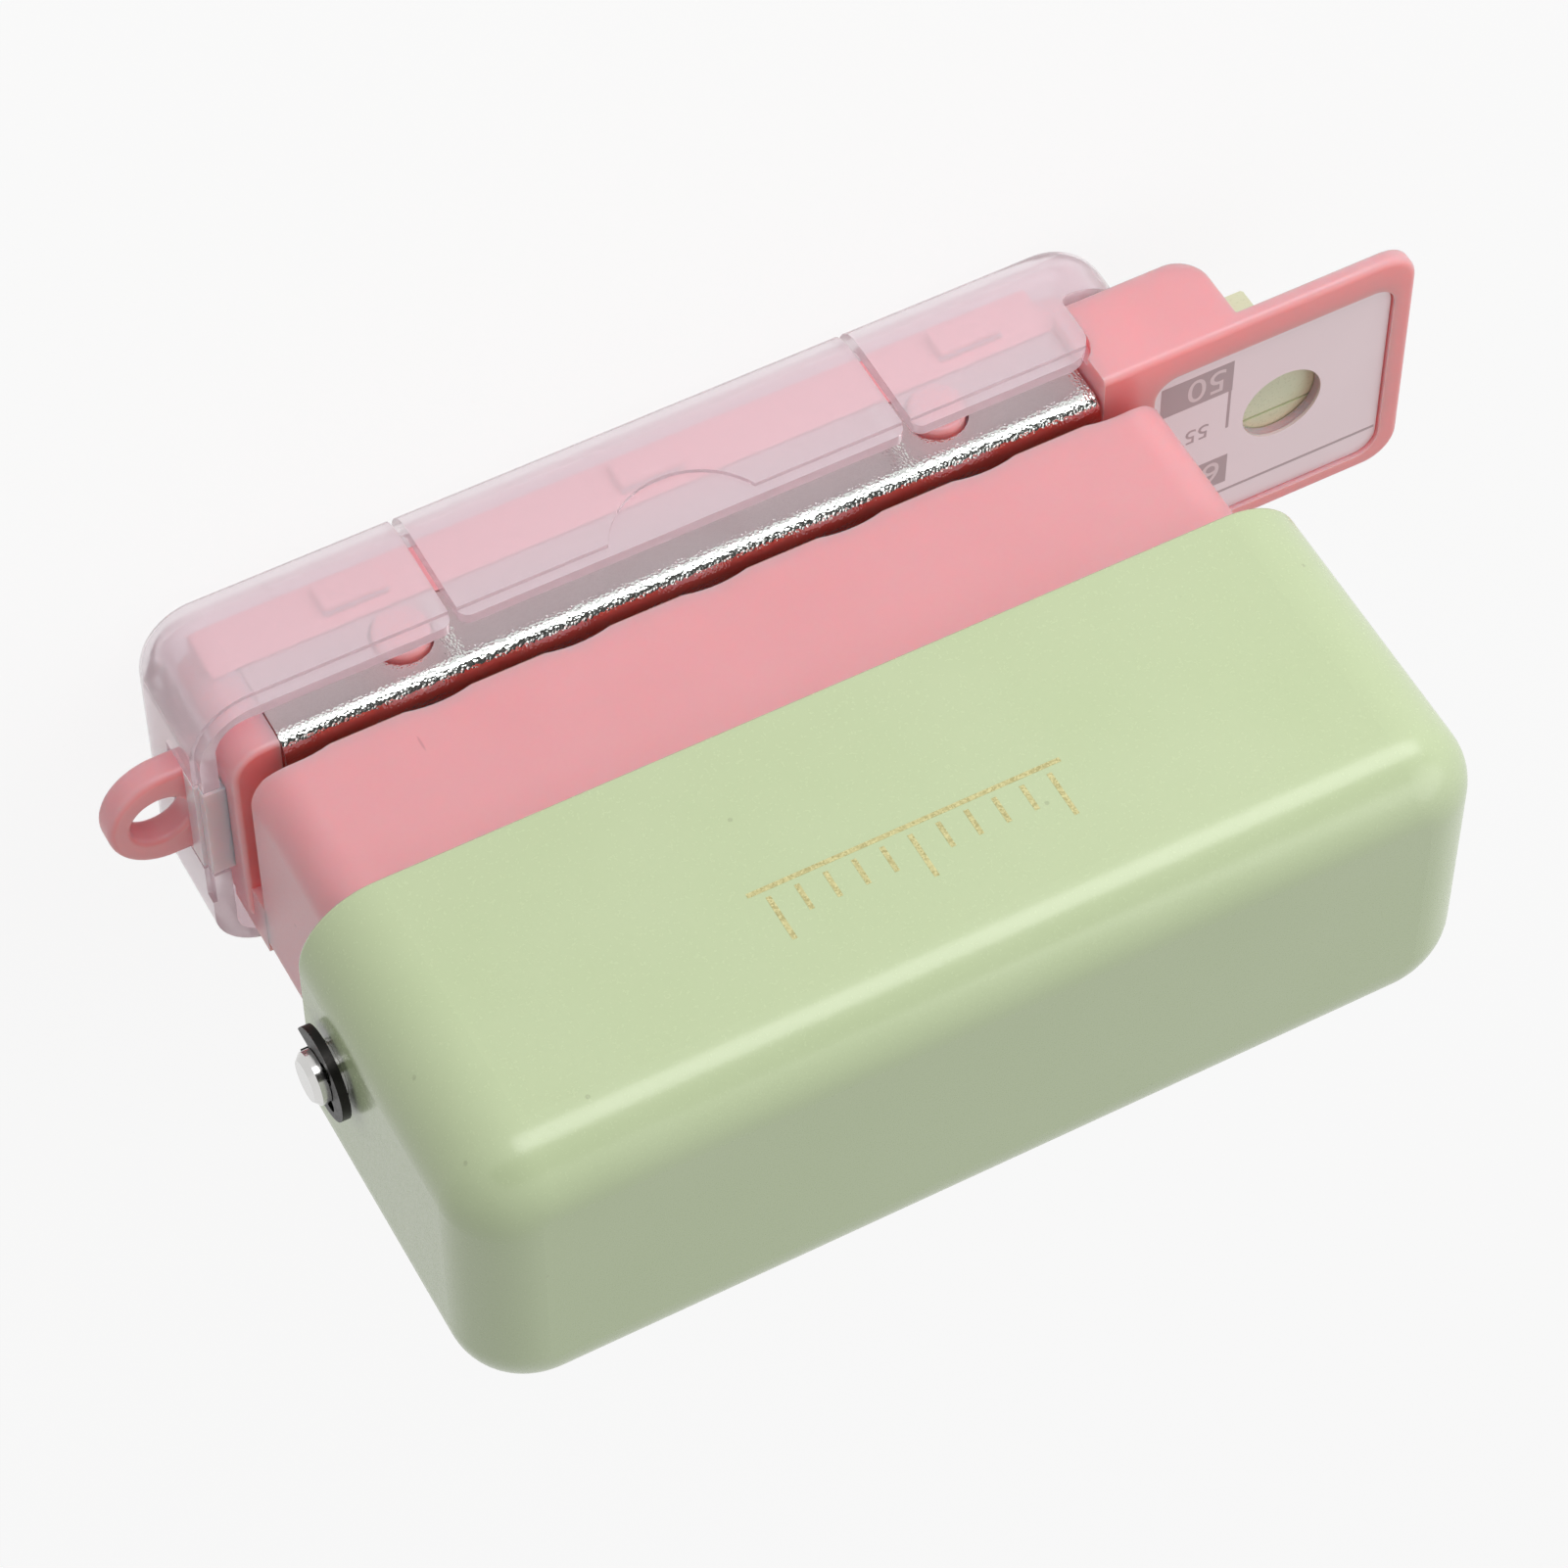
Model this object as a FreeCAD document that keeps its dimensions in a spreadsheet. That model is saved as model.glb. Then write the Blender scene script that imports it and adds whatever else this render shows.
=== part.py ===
"""Hand-held loose-leaf paper punch with five punches in a row.

Frame: +Z up, +Y to the back, +X towards the strap loop. The origin is on the underside of the
chip tray, on the middle punch's plane and half way through the handle's depth. Millimetres.
The paper goes in from the front, -Y. The handle is pressed down along -Z.
"""
import FreeCAD, Part
import math
import os
import re
from FreeCAD import Vector

doc = FreeCAD.newDocument("LeafPunch")
sheet = doc.addObject("Spreadsheet::Sheet", "Dims")

# Each size is a number, or a formula in the names of others where a piece fits another.
DIMENSIONS = (
    # The punches: standard loose-leaf pitch, and a 6 mm hole.
    ("hole_pitch", 9.5), ("punch_radius", 3.0), ("row_y", -2.0), ("stroke", 4.5),
    ("tip_rise", 0.4), ("tip_stagger", 0.5), ("bore_gap", 0.05), ("free_gap", 0.1),
    ("open_gap", 0.3), ("grind_radius", 6.0), ("grind_depth", 0.9), ("head_gap", 0.1),
    # The throat that takes the paper, between the die plate and the housing.
    ("die_top", 12.1), ("throat_gap", 1.5), ("back_wall", 1.7),
    ("throat_back", "screw_y - back_wall"),
    # The housing above the throat.
    ("housing_low", "die_top + throat_gap"), ("end_room", 10.0),
    ("housing_half", "2 * hole_pitch + punch_radius + end_room"), ("housing_half_y", 10.0),
    ("housing_corner", 3.0), ("end_trim", 0.3), ("housing_top", 40.4), ("housing_wall", 2.2),
    ("housing_wall_y", 2.0), ("ceiling", 2.2), ("cavity_half", "housing_half - housing_wall"),
    ("cavity_half_y", "housing_half_y - housing_wall_y"),
    ("cavity_floor", "housing_low + ceiling"), ("notch_radius", 8.8), ("notch_depth", 0.3),
    ("notch_run", 1.4), ("slot_gap", 0.15),
    # The chip tray: its outside is set by the cap and the jaw that it surrounds.
    ("tray_wall", 1.1), ("tray_end_wall", 1.45), ("tray_gap", 0.35), ("lip_gap", 0.3),
    ("jaw_half", "housing_half"), ("tray_inner_half", "jaw_half + tray_gap"),
    ("tray_half", "tray_inner_half + tray_end_wall"), ("tray_half_y", 12.0),
    ("tray_inner_half_y", "tray_half_y - tray_wall"), ("tray_floor", 1.2),
    ("rim_drop", 1.9),
    ("tray_rim", "die_top - rim_drop"), ("lip_top", "tray_rim - 0.15"),
    ("rear_rim", "tray_rim - 0.1"),
    ("pin_rim", "hinge_z + 0.4"), ("tray_corner", 4.4), ("tray_round", 2.5), ("tray_extra", 0.3),
    ("tray_inner_corner", 2.3), ("tray_inner_round", 1.4), ("tray_low_rim", "block_bottom - open_gap"),
    ("tongue_half", 15.8), ("tongue_slit", 0.6), ("slit_run", 3.2), ("thumb_radius", 5.65),
    ("thumb_depth", 0.3), ("thumb_z", "lip_top + 1.7"), ("band_low", "lip_top - 0.7"),
    ("band_back", 6.0), ("tongue_corner", 0.8), ("lip_corner", 2.0),
    # The tray's hinge at the back.
    ("hinge_inset", 1.7), ("hinge_y", "tray_half_y - hinge_inset"), ("hinge_z", 9.0),
    ("knuckle_radius", 1.5),
    ("hinge_radius", 0.75), ("hinge_half", 26.0), ("lug_inner", 20.0),
    ("lug_outer", "hinge_half"), ("knuckle_inner", 13.3), ("knuckle_outer", "lug_inner - 0.6"),
    ("knuckle_web", 6.0), ("lug_gap", 0.3),
    # The bent steel die plate that clips over the jaw.
    ("plate_end", 3.6), ("plate_half", "housing_half - plate_end"), ("plate_extra", 0.2),
    ("plate_thick", 1.0),
    ("plate_gap", 1.5), ("plate_front", "plate_gap - tray_inner_half_y"), ("plate_bend", 1.3),
    ("plate_drop", 7.0), ("plate_lower", "die_top - plate_drop"),
    ("plate_under", "die_top - plate_thick"),
    ("boss_x", 18.75), ("boss_z", "lip_top - 2.05"), ("boss_radius", 1.85), ("boss_room", 0.2),
    ("boss_front", "plate_front - 0.6"), ("boss_edge", 0.35),
    # The lower jaw, hollow underneath for the chips.
    ("jaw_front", "plate_front + plate_thick + 0.4"), ("jaw_back", "hinge_y - knuckle_radius - 0.4"),
    ("jaw_bottom", "tray_floor + 0.8"), ("jaw_ledge", "tray_rim + 1.1"), ("jaw_wall", 2.0),
    ("front_wall", 0.9), ("cheek_top", "die_top - 0.4"), ("cheek_inner", "plate_half + 0.3"),
    ("jaw_corner", 2.6), ("cheek_corner", 2.4), ("cheek_nose", 0.4), ("chip_radius", 3.7),
    ("roof_thick", 2.5), ("chip_roof", "plate_under - roof_thick"), ("catch_low", 3.4),
    ("catch_high", 4.9), ("catch_half", 2.2), ("catch_front", "plate_front - 0.5"),
    # The side block and the arm that carries the label.
    ("block_right", "-plate_half - 0.2"), ("block_wide", 10.2),
    ("block_left", "block_right - block_wide"),
    ("block_front", "0.7 - tray_half_y"), ("block_back", 8.95), ("block_drop", 6.7),
    ("block_bottom", "die_top - block_drop"),
    ("block_round", 2.2), ("block_wall", 1.8), ("block_roof", 10.0),
    ("lip_end", "block_right - 0.6"), ("arm_run", 13.1),
    ("arm_left", "block_left - arm_run"),
    ("arm_thick", 1.1), ("arm_under", "die_top - arm_thick"), ("arm_corner", 2.5),
    ("arm_edge", 0.5), ("cove_radius", 1.2),
    ("label_side", 1.55), ("label_left", "arm_left + label_side"), ("label_run", 17.9),
    ("label_right", "label_left + label_run"),
    ("label_lip", 2.5), ("label_front", "block_front + label_lip"), ("label_back", "block_back - 1.25"),
    ("label_floor", "die_top - 0.5"), ("label_thick", 0.2), ("label_corner", 1.7),
    ("window_run", 7.85),
    ("window_x", "label_left + window_run"), ("window_y", -1.1), ("window_radius", 2.95),
    # The green slide under the arm.
    ("slide_left", "arm_left + 1.1"), ("slide_right", "block_left - 0.4"),
    ("slide_lip", 2.3), ("slide_front", "block_front + slide_lip"), ("slide_short", 3.7),
    ("slide_back", "label_back - 2.7"),
    ("slide_top", "arm_under - free_gap"), ("slide_thick", 1.0), ("slide_corner", 1.5),
    ("slide_travel", 7.0), ("line_width", 0.24), ("line_y", 0.4), ("line_depth", 0.2),
    ("slide_low", "slide_top - slide_thick"), ("peg_inset", 2.5),
    ("peg_x", "slide_left + peg_inset"), ("peg_front", "slide_front + slide_short"),
    ("peg_side", 1.8), ("peg_back", "slide_back - peg_side"), ("peg_radius", 0.95),
    ("washer_radius", 1.5), ("washer_top", "slide_low - 0.15"), ("washer_thick", 0.5),
    ("knob_run", 1.9), ("knob_wide", 1.85), ("knob_edge", 0.15), ("knob_deep", 2.0), ("knob_inset", 0.2),
    # The strap loop.
    ("loop_reach", 3.0), ("loop_x", "jaw_half + loop_reach"),
    ("eye_reach", 3.6), ("eye_x", "jaw_half + eye_reach"), ("loop_y", -1.0),
    ("loop_radius", 4.05), ("loop_hole", 1.95), ("hole_edge", 0.4),
    ("root_run", 1.2), ("root_half", 2.5), ("root_edge", 0.3),
    ("loop_low", 5.7), ("loop_high", 7.8), ("loop_edge", 0.5), ("web_run", "tray_half - jaw_half"),
    ("web_top", "tray_rim"), ("loop_gap", 0.3),
    # The handle cap.
    ("cap_gap", 0.75), ("cap_gap_y", 0.5), ("cap_shift", 0.35), ("cap_wall", 1.8), ("cap_wall_y", 1.5),
    ("cap_inner_half", "housing_half + cap_gap"),
    ("cap_inner_half_y", "housing_half_y + cap_gap_y"), ("cap_half", "cap_inner_half + cap_wall"),
    ("cap_half_y", "cap_inner_half_y + cap_wall_y"), ("cap_drop", 4.7),
    ("cap_low", "rod_z - cap_drop"), ("cap_roof", 3.0),
    ("roof_gap", 0.9), ("cap_ceiling", "housing_top + stroke + roof_gap"),
    ("cap_top", "cap_ceiling + cap_roof"), ("cap_corner", 5.5), ("cap_round", 4.5),
    ("cap_edge", 0.4), ("cap_inner_corner", 3.4), ("cap_inner_round", 0.8),
    # The punch bar, the cross rod and its retaining rings.
    ("rod_z", 29.9), ("rod_radius", 1.75), ("bar_half", "cavity_half - 1.0"), ("bar_half_y", 4.5),
    ("bar_under", 2.9), ("bar_low", "rod_z - bar_under"),
    ("bar_over", 3.1), ("bar_top", "rod_z + bar_over"), ("bar_corner", 1.5),
    ("punch_top", "bar_top - 0.8"), ("ring_x", "cap_half + 0.45"), ("ring_thick", 0.6),
    ("ring_radius", 3.1), ("ring_mouth", 1.1), ("ear_reach", 1.75), ("ear_radius", 0.75),
    ("groove_radius", 1.3), ("rod_nose", 1.0), ("rod_end", "ring_x + ring_thick + rod_nose"),
    ("rod_chamfer", 0.4),
    # The insert between the cap's roof and the bar.
    ("insert_inset", 2.8), ("insert_half", "cavity_half - insert_inset"),
    ("insert_half_y", "cavity_half_y - 0.8"),
    ("insert_plate", 2.0), ("insert_low", "cap_ceiling - insert_plate"), ("insert_corner", 2.0),
    ("rib_thick", 1.5), ("rib_x", 17.0), ("short_rib", 37.0), ("insert_screw_inner", 8.5),
    ("insert_screw_inset", 3.0), ("insert_screw_outer", "insert_half - insert_screw_inset"),
    # The punch guide, the return springs and the screws.
    ("guide_half", "cavity_half - 0.8"), ("guide_half_y", "cavity_half_y - 0.3"),
    ("guide_height", 5.2), ("guide_top", "cavity_floor + guide_height"), ("guide_corner", 0.8),
    ("spring_inset", 4.3),
    ("spring_x", "cavity_half - spring_inset"),
    ("spring_mean", 2.1), ("spring_wire", 0.55), ("seat_height", 1.7),
    ("spring_seat", "cavity_floor + seat_height"),
    ("spring_head", "bar_low + 0.8"), ("spring_turns", 5.5), ("spring_room", 0.325),
    ("spring_touch", 0.08), ("post_radius", 1.25), ("post_low", "cavity_floor + 0.4"),
    ("post_top", "guide_top + 0.5"), ("head_room", 0.4),
    ("screw_y", "cavity_half_y - screw_head - head_room"), ("screw_radius", 1.0),
    ("screw_head", 1.9), ("head_height", 1.2), ("drive_depth", 0.6), ("screw_foot", 10.0),
    ("roof_screw_tip", "cap_top - 1.2"),
)


def fill_sheet():
    """Write each driving dimension into the sheet, with its alias beside its name."""
    for row, (alias, value) in enumerate(DIMENSIONS, start=1):
        sheet.set("A%d" % row, alias)
        sheet.setAlias("B%d" % row, alias)
    for row, (alias, value) in enumerate(DIMENSIONS, start=1):
        sheet.set("B%d" % row, "=" + value if isinstance(value, str) else str(value))
    doc.recompute()


def bound(expression):
    """An expression in alias names, written as the document wants it."""
    return re.sub(r"[a-z][a-z_]*", lambda word: "Dims." + word.group(0), str(expression))


def num(expression):
    """The value of such an expression now."""
    return float(sheet.evalExpression(bound(expression)))


def bind_place(thing, x, y, z):
    for axis, expression in zip("xyz", (x, y, z)):
        thing.setExpression("Placement.Base." + axis, bound(expression))


def box(name, x, y, z):
    """A box between two expressions along each axis."""
    made = doc.addObject("Part::Box", name)
    for size, (low, high) in zip(("Length", "Width", "Height"), (x, y, z)):
        made.setExpression(size, bound("(%s) - (%s)" % (high, low)))
    bind_place(made, x[0], y[0], z[0])
    return made


TURNS = {"x": FreeCAD.Rotation(Vector(0, 1, 0), 90), "y": FreeCAD.Rotation(Vector(1, 0, 0), -90),
         "z": FreeCAD.Rotation()}


def rod(name, axis, radius, at, low, high):
    """A cylinder along an axis, from low to high on it. at gives the other two coordinates."""
    made = doc.addObject("Part::Cylinder", name)
    made.setExpression("Radius", bound(radius))
    made.setExpression("Height", bound("(%s) - (%s)" % (high, low)))
    made.Placement.Rotation = TURNS[axis]
    place = list(at)
    place.insert("xyz".index(axis), low)
    bind_place(made, *place)
    return made


def joined(name, *pieces):
    made = doc.addObject("Part::MultiFuse", name)
    made.Shapes = list(pieces)
    made.Refine = True
    return made


def less(name, base, *tools):
    """The base with the tools taken away."""
    made = doc.addObject("Part::Cut", name)
    made.Base = base
    made.Tool = tools[0] if len(tools) == 1 else joined(name + "_tools", *tools)
    made.Refine = True
    return made


def rounded(name, base, *rules):
    """Round the edges that a rule picks. A rule is a test on an edge's middle and direction."""
    doc.recompute()
    edges = []
    for index, edge in enumerate(base.Shape.Edges, start=1):
        middle = edge.valueAt((edge.FirstParameter + edge.LastParameter) / 2)
        run = edge.tangentAt((edge.FirstParameter + edge.LastParameter) / 2)
        for test, radius in rules:
            if test(middle, run):
                edges.append((index, num(radius), num(radius)))
                break
    if not edges:
        raise RuntimeError(name + ": no edge to round")
    made = doc.addObject("Part::Fillet", name)
    made.Base = base
    made.Edges = edges
    return made


def upright(middle, run):
    return abs(run.z) > 0.9


def near(value, expression):
    return abs(value - num(expression)) < 0.01


def span(sign, inner, outer):
    """Low and high ends of a stretch along X, on the side that the sign gives."""
    return (inner, outer) if sign > 0 else ("-(%s)" % outer, "-(%s)" % inner)


def labelled(thing, node):
    thing.Label = node
    parts.append(thing)
    return thing


parts = []
PUNCH_STEPS = (-2, -1, 0, 1, 2)
SIDES = (("left", -1), ("right", 1))


def punch_x(step):
    return "%d * hole_pitch" % step


# Sketched bodies


def new_body(name):
    return doc.addObject("PartDesign::Body", name)


def new_sketch(body, name, plane, offset="0"):
    """A sketch on one of the body's own origin planes, moved along the plane's normal."""
    sketch = body.newObject("Sketcher::SketchObject", name)
    face = [item for item in body.Origin.OriginFeatures if item.Role == plane][0]
    sketch.AttachmentSupport = (face, [""])
    sketch.MapMode = "FlatFace"
    sketch.setExpression(".AttachmentOffset.Base.z", bound(offset))
    return sketch


def pin_point(sketch, geometry, place, x, y):
    """Hold one point of the sketch at expressions for its two coordinates."""
    from Sketcher import Constraint as Rule
    for kind, axis, expression in (("DistanceX", -2, x), ("DistanceY", -1, y)):
        value = num(expression)
        if abs(value) < 1e-9:
            sketch.addConstraint(Rule("PointOnObject", geometry, place, axis))
            continue
        rule = sketch.addConstraint(Rule(kind, -1, 1, geometry, place, value))
        sketch.setExpression("Constraints[%d]" % rule, bound(expression))


def outline(sketch, corners):
    """A closed outline of straight runs through points given as pairs of expressions."""
    from Sketcher import Constraint as Rule
    first = sketch.GeometryCount
    spots = [Vector(num(x), num(y), 0) for x, y in corners]
    for here, there in zip(spots, spots[1:] + spots[:1]):
        sketch.addGeometry(Part.LineSegment(here, there), False)
    count = len(corners)
    for step in range(count):
        after = first + (step + 1) % count
        sketch.addConstraint(Rule("Coincident", first + step, 2, after, 1))
    for step, (x, y) in enumerate(corners):
        pin_point(sketch, first + step, 1, x, y)


def ring(sketch, x, y, radius):
    """A circle in the sketch."""
    from Sketcher import Constraint as Rule
    spot = Vector(num(x), num(y), 0)
    made = sketch.addGeometry(Part.Circle(spot, Vector(0, 0, 1), num(radius)), False)
    pin_point(sketch, made, 3, x, y)
    rule = sketch.addConstraint(Rule("Radius", made, num(radius)))
    sketch.setExpression("Constraints[%d]" % rule, bound(radius))


def pad(body, name, sketch, length, backwards=False):
    made = body.newObject("PartDesign::Pad", name)
    made.Profile = sketch
    made.setExpression("Length", bound(length))
    made.Reversed = backwards
    return made


def pocket(body, name, sketch, length, backwards=False):
    """A pocket, which has to take something away."""
    doc.recompute()
    before = body.Shape.Volume
    made = body.newObject("PartDesign::Pocket", name)
    made.Profile = sketch
    made.setExpression("Length", bound(length))
    made.Reversed = backwards
    doc.recompute()
    if body.Shape.Volume > before - 1e-6:
        raise RuntimeError(name + " cuts nothing")
    return made


def soften(body, name, base, radius, test):
    """A fillet on the body's edges that pass the test."""
    doc.recompute()
    chosen = []
    for index, edge in enumerate(base.Shape.Edges, start=1):
        half = (edge.FirstParameter + edge.LastParameter) / 2
        if test(edge.valueAt(half), edge.tangentAt(half)):
            chosen.append("Edge%d" % index)
    made = body.newObject("PartDesign::Fillet", name)
    made.Base = (base, chosen)
    made.setExpression("Radius", bound(radius))
    return made


# The moulded body: housing, lower jaw, side block, arm, loop and hinge lugs


def make_housing():
    """The open box above the throat, with seven sight notches in its lower front edge."""
    block = box("HousingBlock", ("-housing_half", "housing_half - end_trim"),
                ("-housing_half_y", "housing_half_y"), ("housing_low", "housing_top"))
    shell = rounded("HousingCorners", block, (upright, "housing_corner"))
    tools = [box("HousingCavity", ("-cavity_half", "cavity_half"),
                 ("-cavity_half_y", "cavity_half_y"), ("cavity_floor", "housing_top + 1"))]
    for step in PUNCH_STEPS:
        tools.append(rod("CeilingBore%d" % step, "z", "punch_radius + open_gap",
                         (punch_x(step), "row_y"), "housing_low - 1", "cavity_floor + 1"))
    for step in (-3,) + PUNCH_STEPS + (3,):
        tools.append(rod("SightNotch%d" % step, "y", "notch_radius",
                         (punch_x(step), "housing_low - notch_radius + notch_depth"),
                         "-housing_half_y - 1", "-housing_half_y + notch_run"))
    slot = "rod_radius + slot_gap"
    for side, sign in SIDES:
        ends = span(sign, "cavity_half - 1", "housing_half + 1")
        tools.append(rod("SlotTop_" + side, "x", slot, ("row_y", "rod_z"), *ends))
        tools.append(rod("SlotFoot_" + side, "x", slot, ("row_y", "rod_z - stroke"), *ends))
        tools.append(box("SlotRun_" + side, ends, ("row_y - (%s)" % slot, "row_y + " + slot),
                         ("rod_z - stroke", "rod_z")))
        tools.append(rod("FloorHole_" + side, "z", "screw_radius + free_gap",
                         ("%d * spring_x" % sign, "screw_y"), "housing_low - 1",
                         "cavity_floor + 1"))
    return labelled(less("Housing", shell, *tools), "housing")


def make_jaw_blocks():
    """The lower jaw and the spine at the throat's closed end."""
    main = box("JawMain", ("-jaw_half", "jaw_half"), ("jaw_front", "jaw_back"),
               ("jaw_bottom", "plate_under"))
    main = rounded("JawMainCorners", main, (upright, "jaw_corner"))
    main = rounded("JawMainFront", main, (
        lambda at, run: near(at.y, "jaw_front") and near(at.z, "plate_under"), "plate_thick / 2"))
    inner = "plate_front + plate_thick"
    shelf = box("JawShelf", ("block_right - 2", "cheek_inner + 0.3"), (inner, "0"),
                ("plate_lower", "plate_under"))
    shelf = rounded("JawShelfEdge", shelf, (
        lambda at, run: abs(run.x) > 0.9 and near(at.y, inner) and near(at.z, "plate_under"),
        "plate_bend / 2"))
    cheek = box("JawCheek", ("cheek_inner", "jaw_half"), ("plate_front", "jaw_back"),
                ("plate_lower", "cheek_top"))
    cheek = rounded("JawCheekEdges", cheek, (
        lambda at, run: upright(at, run) and near(at.x, "jaw_half"), "cheek_corner"))
    cheek = rounded("JawCheekNose", cheek, (
        lambda at, run: near(at.z, "cheek_top") and (
            at.y < num("plate_front + cheek_corner + 0.2")
            or at.x > num("jaw_half - cheek_corner / 4")), "cheek_nose"))
    right = "housing_half - end_trim"
    spine = box("Spine", ("-housing_half", right), ("throat_back", "jaw_back"),
                ("chip_roof", "housing_low"))
    rear = box("SpineRear", ("-housing_half", right), ("throat_back", "housing_half_y"),
               ("jaw_ledge", "housing_low"))
    rear = rounded("SpineRearCorners", rear, (
        lambda at, run: upright(at, run) and near(at.y, "housing_half_y"), "housing_corner"))
    return [main, shelf, cheek, spine, rear]


def make_arm():
    """The side block and the thin arm beyond it, whose top is level with the die plate."""
    block = box("SideBlock", ("block_left", "block_right"), ("block_front", "block_back"),
                ("block_bottom", "die_top"))
    block = rounded("SideBlockEdges", block, (
        lambda at, run: near(at.x, "block_left") and near(at.z, "block_bottom"), "block_round"),
        (lambda at, run: near(at.y, "block_front") and near(at.z, "die_top"), "arm_edge"))
    arm = box("Arm", ("arm_left", "block_left + 2"), ("block_front", "block_back"),
              ("arm_under", "die_top"))
    arm = rounded("ArmCorners", arm, (
        lambda at, run: upright(at, run) and near(at.x, "arm_left"), "arm_corner"))
    arm = rounded("ArmRim", arm, (
        lambda at, run: near(at.z, "die_top") and at.x < num("block_left + 1.9"), "arm_edge"))
    corner = ("block_left - cove_radius", "arm_under - cove_radius")
    cove = box("CoveFill", (corner[0], "block_left + 1"),
               ("block_front + arm_edge", "slide_front - open_gap"),
               (corner[1], "arm_under + 0.2"))
    hollow = rod("CoveHollow", "y", "cove_radius", corner, "block_front", "block_back + 1")
    pegs = [rod("Peg_" + side, "z", "peg_radius", ("peg_x", where),
                "washer_top - washer_thick - 0.25", "arm_under + 0.3")
            for side, where in (("front", "peg_front"), ("back", "peg_back"))]
    return [block, arm, less("Cove", cove, hollow)] + pegs


def loop_root(name, gap):
    """The loop's root, or with a gap the slot for it in the jaw's end wall."""
    return box(name, ("jaw_half - root_run - " + gap, "jaw_half + 0.1"),
               ("loop_y - root_half - " + gap, "loop_y + root_half + " + gap),
               ("loop_low + root_edge - " + gap, "loop_high - root_edge + " + gap))


def make_loop():
    """The strap loop: a flat tab with a round end and a hole, and the web above its root.

    The web fills the gap in the tray's wall and follows the band around the tray's rim.
    """
    sides = ("loop_y - loop_radius", "loop_y + loop_radius")
    tab = box("LoopTab", ("jaw_half", "loop_x"), sides, ("loop_low", "loop_high"))
    end = rod("LoopEnd", "z", "loop_radius", ("loop_x", "loop_y"), "loop_low", "loop_high")
    hole = rod("LoopHole", "z", "loop_hole", ("eye_x", "loop_y"), "loop_low - 1", "loop_high + 1")
    inside = box("LoopInside", ("jaw_half - loop_radius", "jaw_half"), sides,
                 ("loop_low - 1", "loop_high + 1"))
    flat = less("LoopFlat", joined("LoopBlank", tab, end), hole, inside)
    far = num("loop_hole + 0.1")
    middle = Vector(num("eye_x"), num("loop_y"), 0)
    soft = rounded("LoopSoft", flat, (
        lambda at, run: abs(run.z) < 0.1 and Vector(at.x, at.y, 0).distanceToPoint(middle) < far,
        "hole_edge"), (
        lambda at, run: abs(run.z) < 0.1 and at.x > num("jaw_half + 0.1"), "loop_edge"))
    web = box("LoopWeb", ("jaw_half", "jaw_half + web_run"), sides,
              ("loop_high - 0.2", "band_low"))
    rim = box("LoopWebRim", ("jaw_half", "jaw_half + web_run - thumb_depth"), sides,
              ("band_low", "web_top"))
    return labelled(joined("Loop", soft, web, rim, loop_root("LoopRoot", "0")), "loop_tab")


def make_lugs():
    """Two bosses that hold the die plate, three catches for the tray and two hinge lugs."""
    made = []
    for side, sign in SIDES:
        boss = rod("Boss_" + side, "y", "boss_radius", ("%d * boss_x" % sign, "boss_z"),
                   "boss_front", "jaw_front + 0.2")
        made.append(rounded("BossEdge_" + side, boss, (
            lambda at, run: near(at.y, "boss_front"), "boss_edge")))
        ends = span(sign, "lug_inner", "lug_outer")
        made.append(rod("Lug_" + side, "x", "knuckle_radius", ("hinge_y", "hinge_z"), *ends))
        made.append(box("LugWeb_" + side, ends, ("jaw_back - 0.5", "hinge_y"),
                        ("hinge_z - knuckle_radius", "hinge_z + knuckle_radius")))
    for name, centre in (("A", "boss_x + 1.4"), ("B", "-0.35"), ("C", "-boss_x - 4.3")):
        made.append(box("Catch" + name, (centre + " - catch_half", centre + " + catch_half"),
                        ("catch_front", "jaw_front + 0.2"),
                        ("catch_low", "catch_high")))
    return made


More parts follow.
